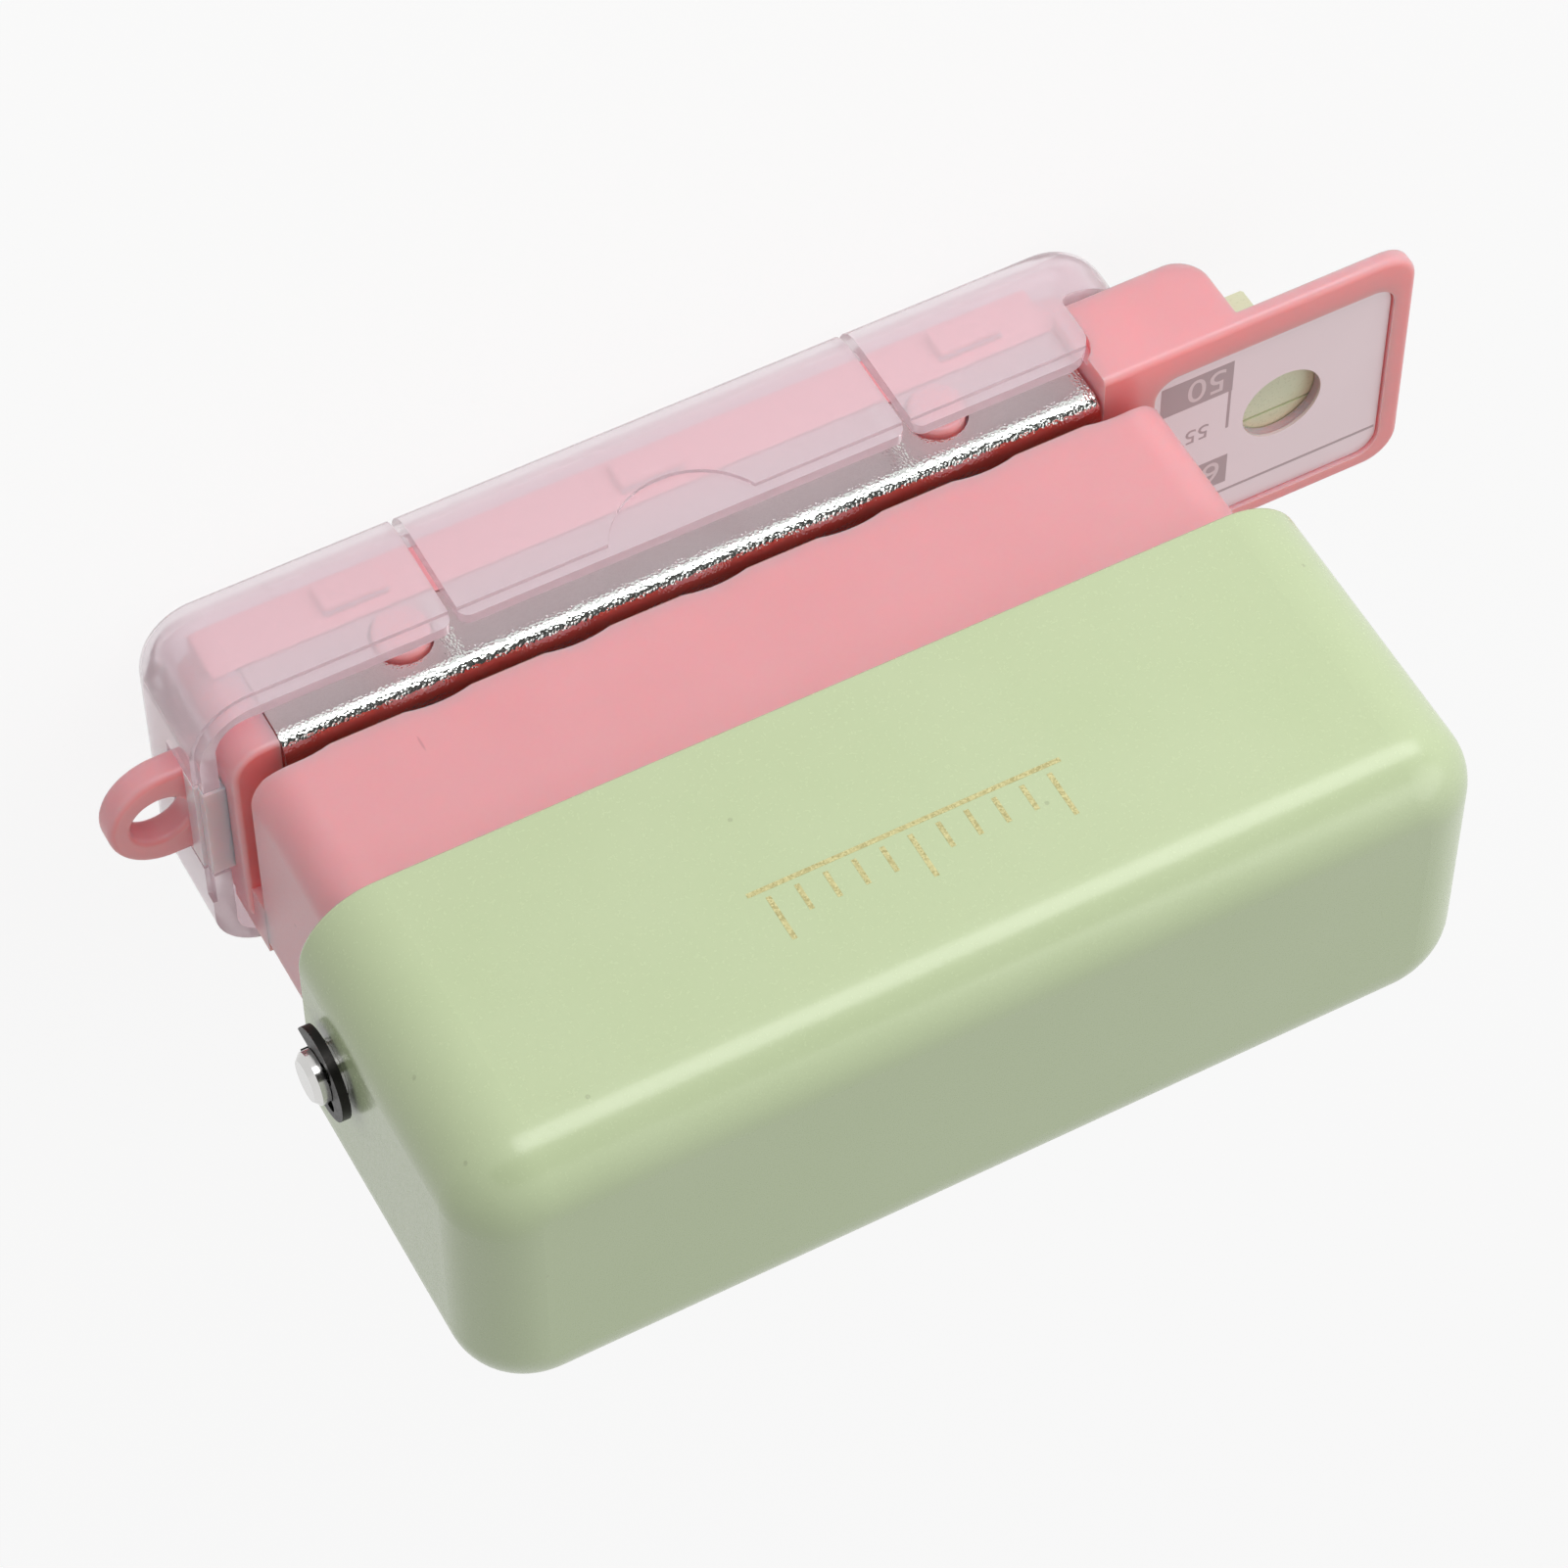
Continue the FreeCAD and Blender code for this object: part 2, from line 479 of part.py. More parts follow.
def make_jaw():
    """Join the moulded jaw and cut its hollows, bores, label recess and window."""
    whole = joined("JawWhole", *(make_jaw_blocks() + make_arm() + make_lugs()))
    tools = [box("ChipHollow", ("-jaw_half + jaw_wall", "jaw_half - jaw_wall"),
                 ("jaw_front + front_wall", "jaw_back - jaw_wall"),
                 ("jaw_bottom - 1", "chip_roof"))]
    for step in PUNCH_STEPS:
        tools.append(rod("ChipBore%d" % step, "z", "chip_radius", (punch_x(step), "row_y"),
                         "chip_roof - 0.5", "die_top"))
    for side, sign in SIDES:
        tools.append(rod("ScrewHole_" + side, "z", "screw_radius",
                         ("%d * spring_x" % sign, "screw_y"), "screw_foot - 0.2",
                         "housing_low + 1"))
    tools.append(rod("HingeBore", "x", "hinge_radius + bore_gap", ("hinge_y", "hinge_z"),
                     "-hinge_half - 1", "hinge_half + 1"))
    tools.append(loop_root("LoopSlot", "bore_gap"))
    tools.append(rod("Window", "z", "window_radius", ("window_x", "window_y"), "arm_under - 1",
                     "die_top + 1"))
    recess = box("LabelRecess", ("label_left", "label_right"), ("label_front", "label_back"),
                 ("label_floor", "die_top + 1"))
    tools.append(rounded("LabelRecessCorners", recess, (upright, "label_corner")))
    rebate = box("LipRebate", ("lip_end - lip_gap", "block_right + lip_corner"),
                 ("-tray_half_y - 1", "lip_gap - tray_inner_half_y"),
                 ("block_bottom - 1", "lip_top + lip_gap"))
    tools.append(rounded("LipRebateCorner", rebate, (
        lambda at, run: abs(run.y) > 0.9 and near(at.z, "lip_top + lip_gap")
        and near(at.x, "lip_end - lip_gap"), "lip_corner + lip_gap")))
    tools.append(box("BlockHollow", ("block_left + block_wall", "lip_end - 5.2"),
                     ("block_front + block_wall", "block_back - 2.7"),
                     ("block_bottom - 1", "block_roof")))
    return labelled(less("Jaw", whole, *tools), "jaw")


# The steel parts of the punching unit


def make_die_plate():
    """A strip bent over the jaw's front, with five die holes and two holes for the bosses."""
    body = new_body("DiePlate")
    profile = new_sketch(body, "DieProfile", "YZ_Plane", "-plate_half")
    inner, back = "plate_front + plate_thick", "throat_back - free_gap"
    outline(profile, ((back, "die_top"), ("plate_front", "die_top"),
                      ("plate_front", "plate_lower"), (inner, "plate_lower"),
                      (inner, "plate_under"), (back, "plate_under")))
    strip = pad(body, "DieStrip", profile, "2 * plate_half + plate_extra")
    outer = soften(body, "DieBend", strip, "plate_bend", lambda at, run: abs(run.x) > 0.9
                   and near(at.y, "plate_front") and near(at.z, "die_top"))
    soften(body, "DieBendInside", outer, "plate_bend - plate_thick",
           lambda at, run: abs(run.x) > 0.9 and near(at.y, inner) and near(at.z, "plate_under"))
    holes = new_sketch(body, "DieHoles", "XY_Plane", "die_top")
    for step in PUNCH_STEPS:
        ring(holes, punch_x(step), "row_y", "punch_radius + bore_gap")
    pocket(body, "DieHolesCut", holes, "plate_thick + 1")
    eyes = new_sketch(body, "DieEyes", "XZ_Plane", "-plate_front")
    for side, sign in SIDES:
        ring(eyes, "%d * boss_x" % sign, "boss_z", "boss_radius + boss_room")
    pocket(body, "DieEyesCut", eyes, "plate_thick + 0.5")
    return labelled(body, "die_plate")


def make_guide():
    """The block that keeps the punches upright, screwed down on the housing's floor."""
    block = box("GuideBlock", ("-guide_half", "guide_half"), ("-guide_half_y", "guide_half_y"),
                ("cavity_floor", "guide_top"))
    block = rounded("GuideCorners", block, (upright, "guide_corner"))
    tools = [rod("GuideBore%d" % step, "z", "punch_radius + bore_gap",
                 (punch_x(step), "row_y"), "cavity_floor - 1", "guide_top + 1")
             for step in PUNCH_STEPS]
    for side, sign in SIDES:
        at = "%d * spring_x" % sign
        tools.append(rod("SpringCup_" + side, "z", "spring_mean + spring_wire / 2 + spring_room",
                         (at, "row_y"), "spring_seat", "guide_top + 1"))
        tools.append(rod("PostHole_" + side, "z", "post_radius", (at, "row_y"), "post_low",
                         "guide_top"))
        tools.append(rod("GuideScrewHole_" + side, "z", "screw_radius + free_gap",
                         (at, "screw_y"), "cavity_floor - 1", "guide_top + 1"))
    return labelled(less("PunchGuide", block, *tools), "punch_guide")


def make_punch(step):
    """One punch: a hollow-ground tip and a cross hole for the rod. The tips are staggered."""
    tip = "housing_low + tip_rise + %d * tip_stagger" % (2 - abs(step))
    name = "Punch%d" % (step + 3)
    shank = rod(name + "Shank", "z", "punch_radius", (punch_x(step), "row_y"), tip, "punch_top")
    ends = ("%s - punch_radius - 1" % punch_x(step), "%s + punch_radius + 1" % punch_x(step))
    grind = rod(name + "Grind", "y", "grind_radius",
                (punch_x(step), "%s + grind_depth - grind_radius" % tip),
                "row_y - punch_radius - 1", "row_y + punch_radius + 1")
    cross = rod(name + "Cross", "x", "rod_radius + bore_gap", ("row_y", "rod_z"), *ends)
    return labelled(less(name, shank, grind, cross), "punch_%d" % (step + 3))


def make_bar():
    """The bar that holds the five punch heads and takes the springs' push."""
    block = box("BarBlock", ("-bar_half", "bar_half"), ("row_y - bar_half_y",
                "row_y + bar_half_y"), ("bar_low", "bar_top"))
    block = rounded("BarCorners", block, (upright, "bar_corner"))
    tools = [rod("BarBore%d" % step, "z", "punch_radius + bore_gap", (punch_x(step), "row_y"),
                 "bar_low - 1", "punch_top + head_gap") for step in PUNCH_STEPS]
    for side, sign in SIDES:
        tools.append(rod("BarCup_" + side, "z", "spring_mean + spring_wire / 2 + spring_room",
                         ("%d * spring_x" % sign, "row_y"), "bar_low - 1", "spring_head"))
    tools.append(rod("BarCross", "x", "rod_radius + bore_gap", ("row_y", "rod_z"),
                     "-bar_half - 1", "bar_half + 1"))
    return labelled(less("PunchBar", block, *tools), "punch_bar")


def make_rod():
    """The cross rod, turned, with a groove near each end for its retaining ring."""
    body = new_body("CrossRod")
    profile = new_sketch(body, "RodProfile", "XZ_Plane", "-row_y")
    right = (("rod_end", "rod_radius - rod_chamfer"), ("rod_end - rod_chamfer", "rod_radius"),
             ("ring_x + ring_thick + bore_gap", "rod_radius"),
             ("ring_x + ring_thick + bore_gap", "groove_radius"),
             ("ring_x - bore_gap", "groove_radius"), ("ring_x - bore_gap", "rod_radius"))
    left = [("-(%s)" % x, radius) for x, radius in reversed(right)]
    ends = (("rod_end", "0"),), (("-rod_end", "0"),)
    outline(profile, [(x + " - cap_shift", "rod_z + " + radius) for x, radius in
                      list(ends[0]) + list(right) + left + list(ends[1])])
    far_ends = ("-rod_end - cap_shift", "rod_end - cap_shift")
    profile.addGeometry(Part.LineSegment(*[Vector(num(x), num("rod_z"), 0) for x in far_ends]), True)
    for place, x in enumerate(far_ends, start=1):
        pin_point(profile, profile.GeometryCount - 1, place, x, "rod_z")
    made = body.newObject("PartDesign::Revolution", "RodTurned")
    made.Profile = profile
    made.ReferenceAxis = (profile, ["Axis0"])
    made.Angle = 360
    return labelled(body, "cross_rod")


def make_ring(side, sign):
    """A retaining ring: a flat disc with a mouth and two relief holes, snapped into a groove."""
    inner = "ring_x - %d * cap_shift" % sign
    disc = rod("RingDisc_" + side, "x", "ring_radius", ("row_y", "rod_z"),
               *span(sign, inner, inner + " + ring_thick"))
    far = span(sign, inner + " - 1", inner + " + ring_thick + 1")
    eye = rod("RingEye_" + side, "x", "groove_radius", ("row_y", "rod_z"), *far)
    mouth = box("RingMouth_" + side, far, ("row_y - ring_mouth", "row_y + ring_mouth"),
                ("rod_z - ring_radius - 1", "rod_z"))
    ears = [rod("RingEar%d_%s" % (turn, side), "x", "ear_radius",
                ("row_y + %.4f * ear_reach" % math.cos(math.radians(turn)),
                 "rod_z + %.4f * ear_reach" % math.sin(math.radians(turn))), *far)
            for turn in (35, 145)]
    return labelled(less("Ring_" + side, disc, eye, mouth, *ears), "retaining_ring_" + side)


def arc_from(start, along, end):
    """The arc that leaves a point in a direction and reaches another point."""
    chord = end - start
    half = chord.Length / 2
    unit = chord / chord.Length
    side = along - unit * along.dot(unit)
    sag = half * math.tan(along.getAngle(unit) / 2)
    return Part.Arc(start, start + chord / 2 + side / side.Length * sag, end).toShape()


def biarc(start, first, end, last):
    """Two arcs that join two points and keep the direction at both."""
    chord, both = end - start, first + last
    spread = 2 * (1 - first.dot(last))
    pull = chord.dot(both)
    reach = (-pull + math.sqrt(pull * pull + spread * chord.dot(chord))) / spread
    meet = (start + end + (first - last) * reach) / 2
    middle = meet - (start + first * reach)
    middle = middle / middle.Length
    return [arc_from(start, first, meet), arc_from(meet, middle, end)]


def make_spring(side, sign):
    """A return spring: one round wire, wound in quarter turns, with a short straight at each end."""
    mean, wire = num("spring_mean"), num("spring_wire")
    low = num("spring_seat + spring_wire / 2 + spring_touch")
    rise = num("spring_head - spring_seat - spring_wire - 2 * spring_touch")
    turns = num("spring_turns")
    centre = Vector(sign * num("spring_x"), num("row_y"), 0)
    slope = rise / (2 * math.pi * turns)
    points, runs = [], []
    for step in range(int(round(turns * 4)) + 1):
        angle = step * math.pi / 2
        points.append(centre + Vector(mean * math.cos(angle), mean * math.sin(angle),
                                      low + slope * angle))
        run = Vector(-mean * math.sin(angle), mean * math.cos(angle), slope)
        runs.append(run / run.Length)
    edges = [Part.LineSegment(points[0] - runs[0] * wire, points[0]).toShape()]
    for here in range(len(points) - 1):
        edges += biarc(points[here], runs[here], points[here + 1], runs[here + 1])
    edges.append(Part.LineSegment(points[-1], points[-1] + runs[-1] * wire).toShape())
    path = Part.Wire(edges)
    circle = Part.Wire(Part.Circle(points[0] - runs[0] * wire, runs[0], wire / 2).toShape())
    coil = path.makePipeShell([circle], True, False)
    made = doc.addObject("Part::Feature", "Spring_" + side)
    made.Shape = coil
    gap = 2 * math.pi * slope - wire
    print("return_spring_%s: %.1f turns, gap %.2f mm, volume %.3f of %.3f" % (
        side, turns, gap, coil.Volume, path.Length * math.pi * wire * wire / 4))
    return labelled(made, "return_spring_" + side)


def make_posts():
    """Two steel posts that keep the springs upright, pressed into the guide."""
    pins = [rounded("PostTip_" + side, rod("Post_" + side, "z", "post_radius",
            ("%d * spring_x" % sign, "row_y"), "post_low", "post_top"),
            (lambda at, run: near(at.z, "post_top"), "post_radius / 3")) for side, sign in SIDES]
    return labelled(joined("SpringPosts", *pins), "spring_posts")


def screw(name, x, y, head_low, head_high, tip, drive):
    """A pan-head screw along Z. The shank runs from the head to tip, the cross is cut at drive."""
    head = rod(name + "Head", "z", "screw_head", (x, y), head_low, head_high)
    ends = (tip, head_low) if num(tip) < num(head_low) else (head_high, tip)
    shank = rod(name + "Shank", "z", "screw_radius", (x, y), *ends)
    wide, thin = "0.55 * screw_head", "0.1 * screw_head"
    bars = [box(name + "Drive%d" % turn, ("%s - %s" % (x, across), "%s + %s" % (x, across)),
                ("%s - %s" % (y, along), "%s + %s" % (y, along)),
                (drive + " - drive_depth", drive + " + drive_depth"))
            for turn, across, along in ((0, wide, thin), (1, thin, wide))]
    return less(name, joined(name + "Blank", head, shank), *bars)


INSERT_SCREWS = ("-insert_screw_outer", "-insert_screw_inner", "insert_screw_inner",
                 "insert_screw_outer")


def make_screws():
    """Screws that hold the punch guide, and those that hold the insert under the cap's roof."""
    down = [screw("GuideScrew_" + side, "%d * spring_x" % sign, "screw_y", "guide_top",
                  "guide_top + head_height", "screw_foot", "guide_top + head_height")
            for side, sign in SIDES]
    labelled(joined("GuideScrews", *down), "guide_screws")
    up = [screw("InsertScrew%d" % place, x, "row_y", "insert_low - head_height", "insert_low",
                "roof_screw_tip", "insert_low - head_height")
          for place, x in enumerate(INSERT_SCREWS)]
    labelled(joined("InsertScrews", *up), "insert_screws")


# The handle


def make_cap():
    """The handle cap: a rounded cover that slides down over the housing."""
    block = box("CapBlock", ("-cap_half - cap_shift", "cap_half - cap_shift"),
                ("-cap_half_y", "cap_half_y"), ("cap_low", "cap_top"))
    skin = rounded("CapCorners", block, (upright, "cap_corner"))
    skin = rounded("CapEdges", skin, (lambda at, run: near(at.z, "cap_top"), "cap_round"),
                   (lambda at, run: near(at.z, "cap_low"), "cap_edge"))
    inner = box("CapInner", ("-cap_inner_half - cap_shift", "cap_inner_half - cap_shift"),
                ("-cap_inner_half_y", "cap_inner_half_y"), ("cap_low - 1", "cap_ceiling"))
    inner = rounded("CapInnerCorners", inner, (upright, "cap_inner_corner"))
    inner = rounded("CapInnerRoof", inner,
                    (lambda at, run: near(at.z, "cap_ceiling"), "cap_inner_round"))
    tools = [inner, rod("CapRodHole", "x", "rod_radius + bore_gap", ("row_y", "rod_z"),
                        "-cap_half - 1", "cap_half + 1")]
    for place, x in enumerate(INSERT_SCREWS):
        tools.append(rod("CapScrewHole%d" % place, "z", "screw_radius", (x, "row_y"),
                         "cap_ceiling - 1", "roof_screw_tip + 0.1"))
    return labelled(less("Cap", skin, *tools), "handle_cap")


def make_insert():
    """The ribbed insert that passes the hand's push from the cap's roof to the punch bar."""
    plate = box("InsertPlate", ("-insert_half", "insert_half"),
                ("-insert_half_y", "insert_half_y"), ("insert_low", "cap_ceiling"))
    plate = rounded("InsertPlateCorners", plate, (upright, "insert_corner"))
    front, back = "row_y - bar_half_y + free_gap", "row_y + bar_half_y - free_gap"
    top = "insert_low + 1"
    rows = (((front, front + " + rib_thick"), "bar_top"), ((back + " - rib_thick", back), "bar_top"),
            (("insert_half_y - rib_thick", "insert_half_y"), "short_rib"))
    ribs = [box("InsertRib%d" % place, ("-insert_half", "insert_half"), y, (low, top))
            for place, (y, low) in enumerate(rows)]
    for place, x in enumerate(("-rib_x", "0", "rib_x")):
        ribs.append(box("InsertCross%d" % place, (x + " - rib_thick / 2", x + " + rib_thick / 2"),
                        (front, back), ("bar_top", top)))
    tools = [rod("InsertHole%d" % place, "z", "screw_radius + free_gap", (x, "row_y"),
                 "insert_low - 1", "cap_ceiling + 1") for place, x in enumerate(INSERT_SCREWS)]
    return labelled(less("CapInsert", joined("InsertWhole", plate, *ribs), *tools),
                    "handle_insert")


# The chip tray, the label and the slide


def make_tray():
    """The frosted chip tray: a shallow tub whose front is slit into a latch tongue.

    A shallow band runs around the rim and widens into a hollow for the thumb at the front.
    """
    tub = box("TrayBlock", ("-tray_half - tray_extra", "tray_half"),
              ("-tray_half_y", "tray_half_y"), ("0", "tray_rim"))
    tub = rounded("TrayCorners", tub, (upright, "tray_corner"))
    tub = rounded("TrayFoot", tub, (lambda at, run: abs(at.z) < 0.01, "tray_round"))
    inner = box("TrayInner", ("-tray_inner_half - tray_extra", "tray_inner_half"),
                ("-tray_inner_half_y", "tray_inner_half_y"), ("tray_floor", "tray_rim + 2"))
    inner = rounded("TrayInnerCorners", inner, (upright, "tray_inner_corner"))
    inner = rounded("TrayInnerFoot", inner, (lambda at, run: near(at.z, "tray_floor"),
                                             "tray_inner_round"))
    shell = less("TrayShell", tub, inner, *(tray_rim_cuts() + tray_wall_cuts()))
    shell = rounded("TrayShellLip", shell, (
        lambda at, run: on_lip(at, run) and near(abs(abs(at.x) - num("tongue_half")),
                                                 "tongue_slit / 2"), "tongue_corner"),
        (lambda at, run: on_lip(at, run) and near(at.x, "lip_end"), "lip_corner"))
    inside = box("TrayBandInside", ("-tray_half - tray_extra + thumb_depth",
                                    "tray_half - thumb_depth"),
                 ("-tray_half_y + thumb_depth", "tray_half_y"), ("band_low - 1", "tray_rim + 3"))
    inside = rounded("TrayBandCorners", inside, (upright, "tray_corner - thumb_depth"))
    around = box("TrayBandAround", ("-tray_half - 2", "tray_half + 2"),
                 ("-tray_half_y - 1", "band_back"), ("band_low", "tray_rim + 2"))
    hollow = rod("ThumbHollow", "y", "thumb_radius", ("0", "thumb_z"), "-tray_half_y - 1",
                 "-tray_half_y + thumb_depth")
    shell = less("TrayFront", shell, less("TrayBand", around, inside), hollow)
    knuckles = []
    for side, sign in SIDES:
        ends = span(sign, "knuckle_inner", "knuckle_outer")
        knuckles.append(rod("TrayKnuckle_" + side, "x", "knuckle_radius",
                            ("hinge_y", "hinge_z"), *ends))
        knuckles.append(box("TrayKnuckleWeb_" + side, ends, ("hinge_y", "tray_half_y"),
                            ("knuckle_web", "hinge_z")))
    whole = joined("TrayWhole", shell, *knuckles)
    bore = rod("TrayHingeBore", "x", "hinge_radius + bore_gap", ("hinge_y", "hinge_z"),
               "-hinge_half - 1", "hinge_half + 1")
    return labelled(less("Tray", whole, bore), "chip_tray")


def on_lip(at, run):
    """An edge through the front wall, at its top."""
    return (abs(run.y) > 0.9 and at.y < num("-tray_half_y + tray_wall + 1")
            and at.z > num("lip_top - 0.2"))


def tray_rim_cuts():
    """Cuts that set the rim's height at the front, the back, the low end and the strap loop."""
    far = ("-tray_half - 2", "tray_half + 2")
    high = "tray_rim + 2"
    low_end = box("TrayLowEnd", (far[0], "lip_end"), ("-tray_half_y - 2", "tray_half_y + 2"),
                  ("tray_low_rim", high))
    low_end = rounded("TrayLowEndRound", low_end, (
        lambda at, run: near(at.x, "lip_end") and near(at.z, "tray_low_rim"), "0.6"))
    lip = box("TrayLip", (far[0], "tongue_half"), ("-tray_half_y - 2", "-tray_half_y + 4"),
              ("lip_top", high))
    rear = box("TrayRearRim", far, ("tray_half_y - 4", "tray_half_y + 2"), ("rear_rim", high))
    back = box("TrayPinRim", ("-hinge_half - 1", "hinge_half + 1"),
               ("hinge_y", "tray_half_y + 2"), ("pin_rim", high))
    loop = box("TrayLoopGap", ("tray_inner_half - 1", far[1]),
               ("loop_y - loop_radius - loop_gap", "loop_y + loop_radius + loop_gap"),
               ("loop_low - open_gap", high))
    return [low_end, lip, rear, back, loop]


def tray_wall_cuts():
    """The slits beside the tongue and the gaps for the hinge lugs."""
    made = []
    for side, sign in SIDES:
        middle = "%d * tongue_half" % sign
        made.append(box("TongueSlit_" + side, (middle + " - tongue_slit / 2",
                                               middle + " + tongue_slit / 2"),
                        ("-tray_half_y - 1", "-tray_half_y + slit_run"), ("-1", "tray_rim + 1")))
        made.append(box("LugGap_" + side, span(sign, "lug_inner - lug_gap", "lug_outer + lug_gap"),
                        ("hinge_y - knuckle_radius - lug_gap", "tray_half_y + 2"),
                        ("hinge_z - knuckle_radius - lug_gap", "tray_rim + 2")))
    return made


def make_hinge_pin():
    pin = rod("HingePin", "x", "hinge_radius", ("hinge_y", "hinge_z"), "-hinge_half", "hinge_half")
    return labelled(rounded("HingePinEnds", pin, (
        lambda at, run: abs(at.x) > num("hinge_half - 0.1"), "0.2")), "tray_hinge_pin")


def make_label():
    """The label plate in the arm's recess, with the window through it."""
    body = new_body("GaugeLabel")
    profile = new_sketch(body, "LabelProfile", "XY_Plane", "label_floor")
    left, right = "label_left + free_gap", "label_right - free_gap"
    front, back = "label_front + free_gap", "label_back - free_gap"
    outline(profile, ((left, front), (right, front), (right, back), (left, back)))
    ring(profile, "window_x", "window_y", "window_radius")
    plate = pad(body, "LabelPlate", profile, "label_thick")
    centre = Vector(num("window_x"), num("window_y"), 0)
    soften(body, "LabelCorners", plate, "label_corner - free_gap",
           lambda at, run: upright(at, run)
           and (Vector(at.x, at.y, 0) - centre).Length > num("window_radius") + 0.5)
    return labelled(body, "gauge_label")


def make_slide():
    """The slide under the arm: a plate with two slots, a centre line and a small knob."""
    body = new_body("GaugeSlide")
    profile = new_sketch(body, "SlideProfile", "XY_Plane", "slide_low")
    outline(profile, (("slide_left", "slide_front"), ("slide_right", "slide_front"),
                      ("slide_right", "slide_back"), ("slide_left", "slide_back")))
    plate = pad(body, "SlidePlate", profile, "slide_thick")
    soften(body, "SlideCorners", plate, "slide_corner",
           lambda at, run: upright(at, run) and near(at.x, "slide_left"))
    slots = new_sketch(body, "SlideSlots", "XY_Plane", "slide_top")
    reach = "peg_radius + free_gap"
    for centre in ("peg_front", "peg_back"):
        left, right = "peg_x - (%s)" % reach, "peg_x + slide_travel + " + reach
        front, back = "%s - (%s)" % (centre, reach), "%s + %s" % (centre, reach)
        outline(slots, ((left, front), (right, front), (right, back), (left, back)))
    pocket(body, "SlideSlotsCut", slots, "slide_thick + 1")
    line = new_sketch(body, "SlideLine", "XY_Plane", "slide_top")
    near_side, far_side = "line_y - line_width / 2", "line_y + line_width / 2"
    outline(line, (("slide_left", near_side), ("slide_right", near_side),
                   ("slide_right", far_side), ("slide_left", far_side)))
    pocket(body, "SlideLineCut", line, "line_depth")
    knob = new_sketch(body, "KnobProfile", "XZ_Plane", "-slide_front")
    right = "slide_right - knob_inset"
    left = right + " - knob_wide"
    foot = "slide_low - knob_deep"
    outline(knob, ((left, "slide_low"), (left, foot + " + knob_edge"),
                   (left + " + knob_edge", foot), (right + " - knob_edge", foot),
                   (right, foot + " + knob_edge"), (right, "slide_low")))
    pad(body, "Knob", knob, "knob_run", True)
    return labelled(body, "gauge_slide")


def make_washers():
    """Two push-on washers that keep the slide on the arm's pegs."""
    made = []
    for side, where in (("front", "peg_front"), ("back", "peg_back")):
        disc = rod("WasherDisc_" + side, "z", "washer_radius", ("peg_x", where),
                   "washer_top - washer_thick", "washer_top")
        eye = rod("WasherEye_" + side, "z", "peg_radius", ("peg_x", where),
                  "washer_top - washer_thick - 1", "washer_top + 1")
        made.append(less("Washer_" + side, disc, eye))
    return labelled(joined("SlideWashers", *made), "slide_washers")


def check_and_write():
    """Stop at the first feature that failed or shape that isn't valid, then write each part."""
    doc.recompute()
    for thing in doc.Objects:
        if "Invalid" in thing.State or "Error" in thing.State:
            raise RuntimeError("%s failed: %s" % (thing.Name, thing.State))
    for part in parts:
        if part.Shape.isNull() or not part.Shape.isValid() or not part.Shape.Solids:
            raise RuntimeError("%s isn't a valid solid" % part.Label)
    os.makedirs("parts", exist_ok=True)
    for part in parts:
        part.Shape.exportStep("parts/%s.step" % part.Label)
        size = part.Shape.BoundBox
        print("%-22s %d solid, %9.1f mm3, X %.2f..%.2f Y %.2f..%.2f Z %.2f..%.2f" % (
            part.Label, len(part.Shape.Solids), part.Shape.Volume, size.XMin, size.XMax,
            size.YMin, size.YMax, size.ZMin, size.ZMax))


fill_sheet()
make_housing()
make_jaw()
make_loop()
make_die_plate()
make_guide()
for number in PUNCH_STEPS:
    make_punch(number)
make_bar()
make_rod()
for end_name, end_sign in SIDES:
    make_ring(end_name, end_sign)
    make_spring(end_name, end_sign)
make_posts()
make_screws()
make_cap()
make_insert()
make_tray()
make_hinge_pin()
make_label()
make_slide()
make_washers()
check_and_write()
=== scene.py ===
import math

import bmesh
import bpy
from mathutils import Matrix, Vector


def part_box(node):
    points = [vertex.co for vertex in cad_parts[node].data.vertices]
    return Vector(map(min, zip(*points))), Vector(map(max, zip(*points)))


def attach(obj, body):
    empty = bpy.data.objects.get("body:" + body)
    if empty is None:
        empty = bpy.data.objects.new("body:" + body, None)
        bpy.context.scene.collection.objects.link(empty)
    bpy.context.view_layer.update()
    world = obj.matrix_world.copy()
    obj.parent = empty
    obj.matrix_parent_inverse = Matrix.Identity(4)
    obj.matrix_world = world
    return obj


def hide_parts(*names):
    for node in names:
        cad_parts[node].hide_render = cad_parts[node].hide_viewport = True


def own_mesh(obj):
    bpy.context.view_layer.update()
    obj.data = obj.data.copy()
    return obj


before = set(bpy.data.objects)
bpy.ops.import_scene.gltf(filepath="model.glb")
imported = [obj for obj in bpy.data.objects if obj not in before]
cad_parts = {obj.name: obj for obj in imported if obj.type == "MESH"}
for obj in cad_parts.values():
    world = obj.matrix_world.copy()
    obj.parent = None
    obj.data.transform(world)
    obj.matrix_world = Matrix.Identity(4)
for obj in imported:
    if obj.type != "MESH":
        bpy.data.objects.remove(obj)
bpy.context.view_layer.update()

# The camera stands where the photograph was taken: above the throat's open side and rolled over by
# half a turn, so that the strap loop is at the left and the handle at the bottom right. Its long
# lens keeps the edges nearly parallel.
LENS_MM = 133.507
SENSOR_MM = 36.0
CAMERA_AT = (0.1000936, -0.2920421, 0.2107498)
CAMERA_TURN = (-53.84976869, -28.16318074, 179.87802)
NEAREST_SEEN = 0.01
camera_data = bpy.data.cameras.new("Camera")
camera_data.lens = LENS_MM
camera_data.sensor_width = SENSOR_MM
camera_data.clip_start = NEAREST_SEEN
camera = bpy.data.objects.new("Camera", camera_data)
camera.location = CAMERA_AT
camera.rotation_euler = [math.radians(angle) for angle in CAMERA_TURN]
bpy.context.collection.objects.link(camera)
